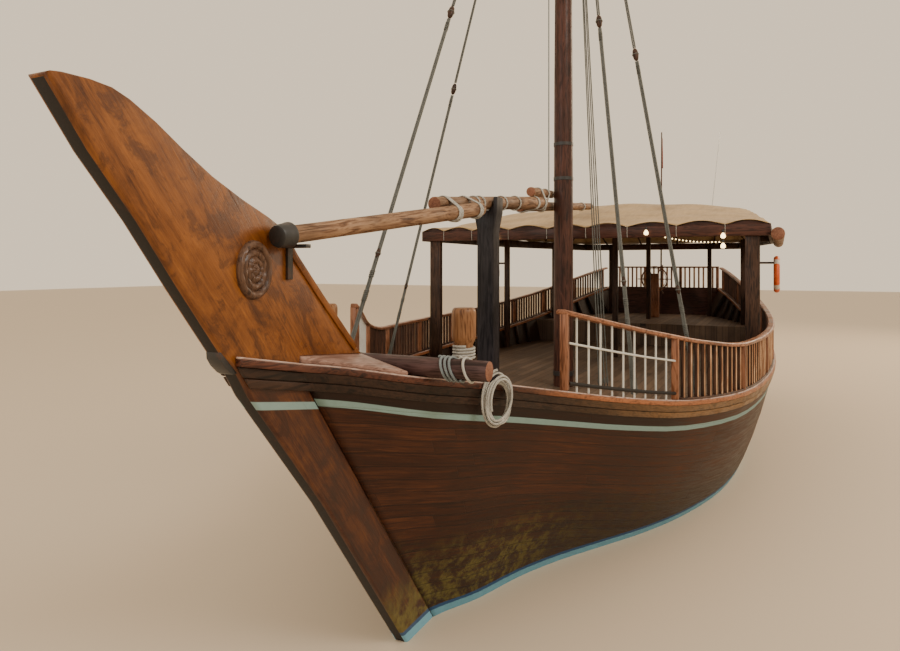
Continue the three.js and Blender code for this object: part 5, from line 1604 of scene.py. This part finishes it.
class DHOW_OT_railings(bpy.types.Operator):
    """Builds the balusters and rails along the sides and across the stern"""

    bl_idname = "dhow.railings"
    bl_label = "Railings"

    def execute(self, context):
        for side, sign in SIDES:
            self.side_railing(side, sign)
        self.stern()
        return {"FINISHED"}

    def side_railing(self, side, sign):
        piece = Piece()

        def centre(x):
            return sign * (rail_half(x) - 0.04)

        def level(x, half):
            return max(rail_z(x - half), rail_z(x + half)) + 0.0005
        steps = 64
        rings = []
        for i in range(steps + 1):
            x = RAIL_FORE + (RAIL_AFT - RAIL_FORE) * i / steps
            y, z = centre(x), railing_top(x)
            rings.append([(x, y + dy, z + dz) for dy, dz in TOP_SECTION])
        piece.add(run_through(rings, 0.004), FORE)

        def upright(x, half):
            return (x, centre(x), level(x, half)), (x, centre(x), railing_top(x) - RAIL_UNDER)
        for x in [FORE_POST_X] + [BALUSTERS_X - BAY * i for i in range(9)]:
            piece.add(beam(*upright(x, POST / 2), POST, POST, 0.008, FORE), UP)
        for i in range(1, 10):
            x = FORE_POST_X - PIPE_SPACING * i
            piece.add(rod(*upright(x, PIPE), PIPE, None, 12), UP, 1)
        for share, radius, skin in ((0.6, 0.011, 1), (0.1, 0.018, 3)):
            line = []
            for x in (5.93, 5.6, 5.2, 4.9, 4.52):
                low, high = rail_z(x), railing_top(x)
                line.append(Vector((x, centre(x) + sign * 0.018, low + (high - low) * share)))
            piece.add(strand(line, radius, 8), FORE, skin)
        for i in range(96):
            if i % 12:
                bar = beam(*upright(BALUSTERS_X - SPACING * i, 0.024), BAR, BAR, 0.011, FORE, 1)
                # Outward faces take the pale baluster wood as the lit side; the other faces a darker copy of
                # it, as painted shade.
                for face in bar.faces:
                    face.material_index = 0 if face.normal.y * sign > 0.3 else 2
                piece.add(bar, UP, 2)
        sill = []
        for i in range(49):
            x = SILL_FORE + (RAIL_AFT - SILL_FORE) * i / 48
            y, z = centre(x), rail_z(x) + 0.0008
            sill.append([(x, y + dy, z + dz) for dy, dz in SILL_SECTION])
        piece.add(run_through(sill, 0.004), FORE, 4)
        finishes = ("rail_wood", "white_paint", "baluster_wood", "black_paint", "baluster_shaded_side")
        piece.done(f"railing_{side}_joinery", finishes, "rail_wood", replaces=(f"railing_{side}",))

    def stern(self):
        low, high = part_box("stern_railing")
        x = (low.x + high.x) / 2
        piece = Piece()
        piece.add(beam((x, low.y, high.z - 0.0225), (x, high.y, high.z - 0.0225), 0.1, 0.045, 0.01), PORT)
        half = high.y - 0.04
        for i in range(0, 25, 8):
            y = half * (i / 12 - 1)
            piece.add(beam((x, y, low.z), (x, y, high.z - 0.04), POST, POST, 0.008, FORE), UP)
        for i in range(25):
            y = half * (i / 12 - 1)
            if i % 8:
                piece.add(beam((x, y, low.z), (x, y, high.z - 0.04), BAR, BAR, 0.007, FORE, 1), UP, 1)
        finishes = ("rail_wood", "baluster_wood")
        piece.done("stern_railing_joinery", finishes, "rail_wood", replaces=("stern_railing",))


EAVE_Z, CROWN_Z, CAMBER = 3.92, 4.54, 0.14
EAVE_HALF, AFT_EAVE_HALF, NARROW_X = 2.89, 2.05, -3.0
FRONT_X, BACK_X = 1.245, -7.345
CROWN_HALF, CROWN_FORE_X, CROWN_AFT_X = 2.3, -1.62, -5.6
TIES = (-2.88, -2.44, -1.89, -1.2, -0.513, 0.15, 0.82, 1.567, 2.269, 2.88)


def eave_half(x):
    if x > NARROW_X:
        return EAVE_HALF
    return EAVE_HALF + (AFT_EAVE_HALF - EAVE_HALF) * (NARROW_X - x) / (NARROW_X - (BACK_X + 0.045))


def cloth_z(x, y):
    """Height of the cloth: a cambered crown, straight down to the front eave and rounded at the others."""
    fore = (FRONT_X - x) / (FRONT_X - CROWN_FORE_X)
    aft = (x - BACK_X) / (CROWN_AFT_X - BACK_X)
    half = eave_half(x)
    side = (half - abs(y)) / half * EAVE_HALF / (EAVE_HALF - CROWN_HALF)
    rise = math.sin(min(1.0, max(0.0, min(aft, side))) * math.pi / 2)
    crown = CROWN_Z - CAMBER * (y / CROWN_HALF) ** 2
    return EAVE_Z + (crown - EAVE_Z) * min(rise, min(1.0, max(0.0, fore)))


LAMP_X = 1.275
BULBS = ((1.12, 3.834), (2.243, 3.764), (2.243, 3.614), (-1.4, 3.80))
STRING_FROM, STRING_TO, STRING_SAG = (1.407, 3.757), (2.243, 3.674), 0.03
RAFTERS_X = (0.45, -0.45, -2.3, -3.5, -4.8, -6.3)
BATTENS_Y = (-2.0, -0.68, 0.68, 2.0)


class DHOW_OT_canopy(bpy.types.Operator):
    """Stretches the canopy over its frame, with its tied hem, rafters and lamps"""

    bl_idname = "dhow.canopy"
    bl_label = "Canopy"

    def execute(self, context):
        settings = context.scene.dhow_canopy
        for node in ("canopy_frame_port", "canopy_frame_starboard", "canopy_ridge"):
            dressed_copy(node, "dark_wood", "dark_wood", UP, 0.006)
        for node in ("canopy_fascia_front", "canopy_fascia_aft"):
            dressed_copy(node, "mast_wood", "dark_wood", PORT, 0.008)
        self.cloth(settings)
        self.hem_shade_strip(settings)
        self.ties()
        self.rafters()
        self.lamps()
        return {"FINISHED"}

    def bay(self, y):
        """How far the hem is free at a place between two ties, from 0 at a tie to 1 midway."""
        for a, b in zip(TIES, TIES[1:]):
            if a <= y <= b:
                return math.sin(math.pi * (y - a) / (b - a))
        return 0.0

    def hem_shade_strip(self, settings):
        """Dark strip of painted shade that closes the scallops behind the hem, where the shade under the
        cloth shows.
        """
        x = FRONT_X - 0.06
        rings = []
        for i in range(121):
            y = TIES[0] + (TIES[-1] - TIES[0]) * i / 120
            top = max(cloth_z(x, y) + settings.scallop * self.bay(y) * 0.9 - 0.014, EAVE_Z + 0.004)
            low = EAVE_Z + 0.001
            rings.append([(x, y, low), (x - 0.004, y, low), (x - 0.004, y, top), (x, y, top)])
        Piece().add(run_through(rings), PORT).done("canopy_hem_shade", "mast_wood", "dark_wood")

    def cloth(self, settings):
        """One sheet from eave to eave, with a hem that lifts in scallops between its ties."""
        nx, ny = 60, 92
        bm = bmesh.new()
        bmesh.ops.create_grid(bm, x_segments=nx, y_segments=ny, size=0.5)
        bm.verts.ensure_lookup_table()
        uv = bm.loops.layers.uv.new("UVMap")
        for j in range(ny + 1):
            for i in range(nx + 1):
                x = FRONT_X + (BACK_X - FRONT_X) * i / nx
                half = eave_half(x)
                y = half * (2 * j / ny - 1)
                bay = self.bay(y)
                z = cloth_z(x, y) + 0.0035
                edge = max(0.0, 1.0 - (FRONT_X - x) / 0.7)
                sag = 0.012 * math.sin(7.0 * x) * math.sin(5.0 * y) * min(1.0, (FRONT_X - x) / 0.5)
                vert = bm.verts[j * (nx + 1) + i]
                z = min(z + settings.scallop * bay * edge + sag, CROWN_Z + 0.012)
                vert.co = (x - 0.02 * bay * edge, y, max(z, EAVE_Z + 0.0035))
        bmesh.ops.recalc_face_normals(bm, faces=bm.faces)
        bm.normal_update()
        if sum(f.normal.z for f in bm.faces) < 0:
            bmesh.ops.reverse_faces(bm, faces=bm.faces)
        for face in bm.faces:
            for loop in face.loops:
                loop[uv].uv = (loop.vert.co.x, loop.vert.co.y)
        area = sum(f.calc_area() for f in bm.faces)
        mesh = bpy.data.meshes.new("canopy_cloth")
        bm.to_mesh(mesh)
        bm.free()
        cloth = place_mesh(
            mesh, "canopy_cloth", "canopy_cloth", replaces=("canopy",), smooth=60.0)
        shell = cloth.modifiers.new("thickness", "SOLIDIFY")
        shell.thickness = 0.003
        shell.offset = 0

    def ties(self):
        """Lace from the hem down over the front fascia at each tie."""
        piece = Piece()
        for y in TIES[1:-1]:
            points = [
                Vector((FRONT_X - 0.02, y, EAVE_Z + 0.012)),
                Vector((FRONT_X + 0.006, y, EAVE_Z + 0.002)),
                Vector((FRONT_X + 0.007, y, EAVE_Z - 0.085)),
                Vector((FRONT_X + 0.007, y + 0.004, EAVE_Z - 0.165)),
            ]
            piece.add(strand(points, 0.004, 6), UP)
        piece.done("canopy_ties", "white_rope", "rope", smooth=60.0)

    def rafters(self):
        """Bent rafters under the cloth and battens between them."""
        piece = Piece()
        for x in RAFTERS_X:
            half = eave_half(x) - 0.05
            rings = []
            for i in range(33):
                y = half * (i / 16 - 1)
                z = cloth_z(x, y) - 0.014
                corners = ((-0.02, -0.04), (0.02, -0.04), (0.02, 0.0), (-0.02, 0.0))
                rings.append([(x + dx, y, z + dz) for dx, dz in corners])
            piece.add(run_through(rings, 0.003), PORT)
        for y in BATTENS_Y:
            rings = []
            for i in range(33):
                x = 1.15 + (-7.25 - 1.15) * i / 32
                yy = y * eave_half(x) / EAVE_HALF
                z = cloth_z(x, yy) - 0.058
                corners = ((-0.02, -0.03), (0.02, -0.03), (0.02, 0.0), (-0.02, 0.0))
                rings.append([(x, yy + dy, z + dz) for dy, dz in corners])
            piece.add(run_through(rings, 0.003), FORE)
        piece.done("canopy_rafters", "dark_wood", "dark_wood")

    def lamps(self):
        """Warm bulbs in their holders before the front fascia, and a string of small lights."""
        piece = Piece()
        holders = Piece()
        x = LAMP_X
        for y, z in BULBS:
            top = Vector((x, y, z + 0.03))
            holders.add(rod(top, top + UP * 0.045, 0.017, 0.019, 12, 0.003), UP)
            hook = [top + UP * 0.045, top + UP * 0.06 - FORE * 0.004, top + UP * 0.066 - FORE * 0.03]
            holders.add(strand(hook, 0.004, 6), UP)
            profile = [
                (0.0, 0.0), (0.02, 0.04), (0.034, 0.2), (0.036, 0.42), (0.03, 0.64), (0.018, 0.86),
                (0.015, 1.0), (0.0, 1.0),
            ]
            piece.add(turned(profile, top - UP * 0.08, top + UP * 0.002, 16), UP)
        wire = []
        for i in range(17):
            t = i / 16
            y = STRING_FROM[0] + (STRING_TO[0] - STRING_FROM[0]) * t
            z = STRING_FROM[1] + (STRING_TO[1] - STRING_FROM[1]) * t - STRING_SAG * math.sin(math.pi * t)
            wire.append(Vector((x - 0.012, y, z)))
            small = [(0.0, 0.0), (0.009, 0.3), (0.009, 0.7), (0.0, 1.0)]
            piece.add(turned(small, (x - 0.012, y, z - 0.024), (x - 0.012, y, z - 0.002), 8), UP)
        holders.add(strand(wire, 0.003, 6), PORT)
        piece.done("canopy_bulbs", "lamp_glow", "steel", smooth=60.0)
        holders.done("lamp_holders", "black_iron", "black_iron")


WHEEL_X = -6.49
PEDESTAL_X = -6.4103
STAFF_FOOT_X, STAFF_TOP_X, STAFF_TOP_Z = -7.56, -7.71, 7.1
FLAG_TOP_Z = 6.96


class DHOW_OT_afterdeck(bpy.types.Operator):
    """Makes the wheel, pedestal, lifebuoys, flagstaff, flag, rudder and propeller"""

    bl_idname = "dhow.afterdeck"
    bl_label = "Afterdeck and stern"

    def execute(self, context):
        dressed_copy("helm_pedestal", "rail_wood", "rail_wood", UP, 0.012)
        self.wheel()
        for side, sign in SIDES:
            self.buoy(side, sign)
        self.staff()
        self.flag()
        self.stern_gear()
        return {"FINISHED"}

    def wheel(self):
        low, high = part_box("steering_wheel")
        centre = Vector((WHEEL_X, 0, (low.z + high.z) / 2))
        piece = Piece()
        piece.add(hoop(centre, FORE, 0.33, 0.02, 48, 12), PORT)
        piece.add(hoop(centre, FORE, 0.29, 0.008, 48, 8), PORT, 1)
        hub = [(0.0, 0.0), (0.03, 0.0), (0.045, 0.12), (0.045, 0.36), (0.03, 0.45), (0.03, 1.0), (0.0, 1.0)]
        piece.add(turned(hub, centre - FORE * 0.04, Vector((PEDESTAL_X, 0, centre.z)), 24), FORE)
        spoke = [
            (0.0, 0.0), (0.014, 0.0), (0.014, 0.3), (0.01, 0.36), (0.0135, 0.45), (0.012, 0.66),
            (0.0135, 0.72), (0.0135, 0.8), (0.009, 0.84), (0.013, 0.9), (0.0135, 0.96), (0.008, 1.0),
            (0.0, 1.0),
        ]
        for i in range(6):
            a = i * math.pi / 3
            out = Vector((0, math.cos(a), math.sin(a)))
            piece.add(turned(spoke, centre + out * 0.02, centre + out * 0.44, 12), out)
        piece.done("wheel_joinery", ("rail_wood", "bronze"), "rail_wood", "wheel", ("steering_wheel",), 50.0)

    def buoy(self, side, sign):
        low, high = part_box(f"lifebuoy_{side}")
        centre = (low + high) / 2
        piece = Piece().add(hoop(centre, PORT, 0.30, 0.055, 64, 20), UP)
        piece.done(
            f"lifebuoy_{side}_shell", "buoy_shell", "buoy_plastic",
            replaces=(f"lifebuoy_{side}",), smooth=60.0)

    def staff(self):
        top = Vector((STAFF_TOP_X, 0, STAFF_TOP_Z))
        foot = Vector((STAFF_FOOT_X, 0, POOP_Z + 0.001))
        piece = Piece()
        rows = [
            (0.0, 0.0), (0.026, 0.0), (0.0255, 0.05), (0.016, 0.985),
            (0.0165, 0.99), (0.012, 1.0), (0.0, 1.0),
        ]
        piece.add(turned(rows, foot, top, 16), UP)
        piece.done("flagstaff_pole", "mast_wood", "rail_wood", replaces=("flagstaff",))
        dressed_copy("aerial", "steel", "steel", UP, 0.0)

    def flag(self):
        """Plain flag furled in hanging folds beside its staff."""
        rows, columns = 26, 60
        width, drop = 0.62, 0.8
        bm = bmesh.new()
        bmesh.ops.create_grid(bm, x_segments=columns, y_segments=rows, size=0.5)
        bm.verts.ensure_lookup_table()
        uv = bm.loops.layers.uv.new("UVMap")
        folds = 5.0
        places = {}
        for j in range(rows + 1):
            t = j / rows
            z = FLAG_TOP_Z - drop * (1 - t)
            share = (z - POOP_Z) / (STAFF_TOP_Z - POOP_Z)
            staff = STAFF_FOOT_X + (STAFF_TOP_X - STAFF_FOOT_X) * share
            for i in range(columns + 1):
                s = i / columns
                phase = 2 * math.pi * folds * s + 0.5 * math.sin(3 * t)
                sway = 0.024 * (0.75 + 0.25 * math.cos(2.5 * t))
                reach = 0.030 + 0.105 * s * (0.72 + 0.28 * (1 - t))
                vert = bm.verts[j * (columns + 1) + i]
                x = staff - reach - 0.005 * math.sin(2 * phase)
                vert.co = (x, sway * math.sin(phase), z - 0.09 * s * (1 - 0.4 * t))
                places[vert.index] = (width * s, drop * t)
        bmesh.ops.recalc_face_normals(bm, faces=bm.faces)
        for face in bm.faces:
            for loop in face.loops:
                loop[uv].uv = places[loop.vert.index]
        area = sum(f.calc_area() for f in bm.faces)
        mesh = bpy.data.meshes.new("flag_cloth")
        bm.to_mesh(mesh)
        bm.free()
        cloth = place_mesh(mesh, "flag_folds", "flag_cloth", replaces=("flag",), smooth=70.0)
        shell = cloth.modifiers.new("thickness", "SOLIDIFY")
        shell.thickness = 0.0015
        shell.offset = 0
        area / drop

    def stern_gear(self):
        dressed_copy("rudder", "dark_wood", "dark_wood", (0.34, 0, 1), 0.006, "rudder")
        dressed_copy("propeller", "bronze", "bronze", FORE, 0.003, "propeller", 40.0, 50.0)
        dressed_copy("propeller_shaft", "steel", "steel", FORE, 0.0, "propeller")


OPERATORS = (
    DHOW_OT_stage, DHOW_OT_rope_hank, DHOW_OT_planking, DHOW_OT_stem, DHOW_OT_foredeck_gear, DHOW_OT_spars,
    DHOW_OT_rigging, DHOW_OT_railings, DHOW_OT_canopy, DHOW_OT_afterdeck,
)


class DHOW_PT_panel(bpy.types.Panel):
    """Lists the boat's pieces and their settings"""

    bl_idname = "DHOW_PT_panel"
    bl_label = "Wooden Dhow"
    bl_space_type = "VIEW_3D"
    bl_region_type = "UI"
    bl_category = "Dhow"

    def draw(self, context):
        for group in ("dhow_hull", "dhow_rig", "dhow_canopy", "dhow_stage"):
            settings = getattr(context.scene, group)
            for name in settings.bl_rna.properties.keys():
                if name not in ("rna_type", "name"):
                    self.layout.prop(settings, name)
        for operator in OPERATORS:
            self.layout.operator(operator.bl_idname)


GROUPS = {
    "dhow_hull": HullSettings,
    "dhow_rig": RigSettings,
    "dhow_canopy": CanopySettings,
    "dhow_stage": StageSettings,
}


def register():
    for group in GROUPS.values():
        bpy.utils.register_class(group)
    for name, group in GROUPS.items():
        setattr(bpy.types.Scene, name, PointerProperty(type=group))
    for operator in OPERATORS:
        bpy.utils.register_class(operator)
    bpy.utils.register_class(DHOW_PT_panel)


def unregister():
    bpy.utils.unregister_class(DHOW_PT_panel)
    for operator in reversed(OPERATORS):
        bpy.utils.unregister_class(operator)
    for name, group in GROUPS.items():
        delattr(bpy.types.Scene, name)
        bpy.utils.unregister_class(group)


def main():
    register()
    bpy.ops.dhow.stage()
    bpy.ops.dhow.rope_hank()
    bpy.ops.dhow.planking()
    bpy.ops.dhow.stem()
    bpy.ops.dhow.foredeck_gear()
    bpy.ops.dhow.spars()
    bpy.ops.dhow.rigging()
    bpy.ops.dhow.railings()
    bpy.ops.dhow.canopy()
    bpy.ops.dhow.afterdeck()


if __name__ == "__main__":
    main()
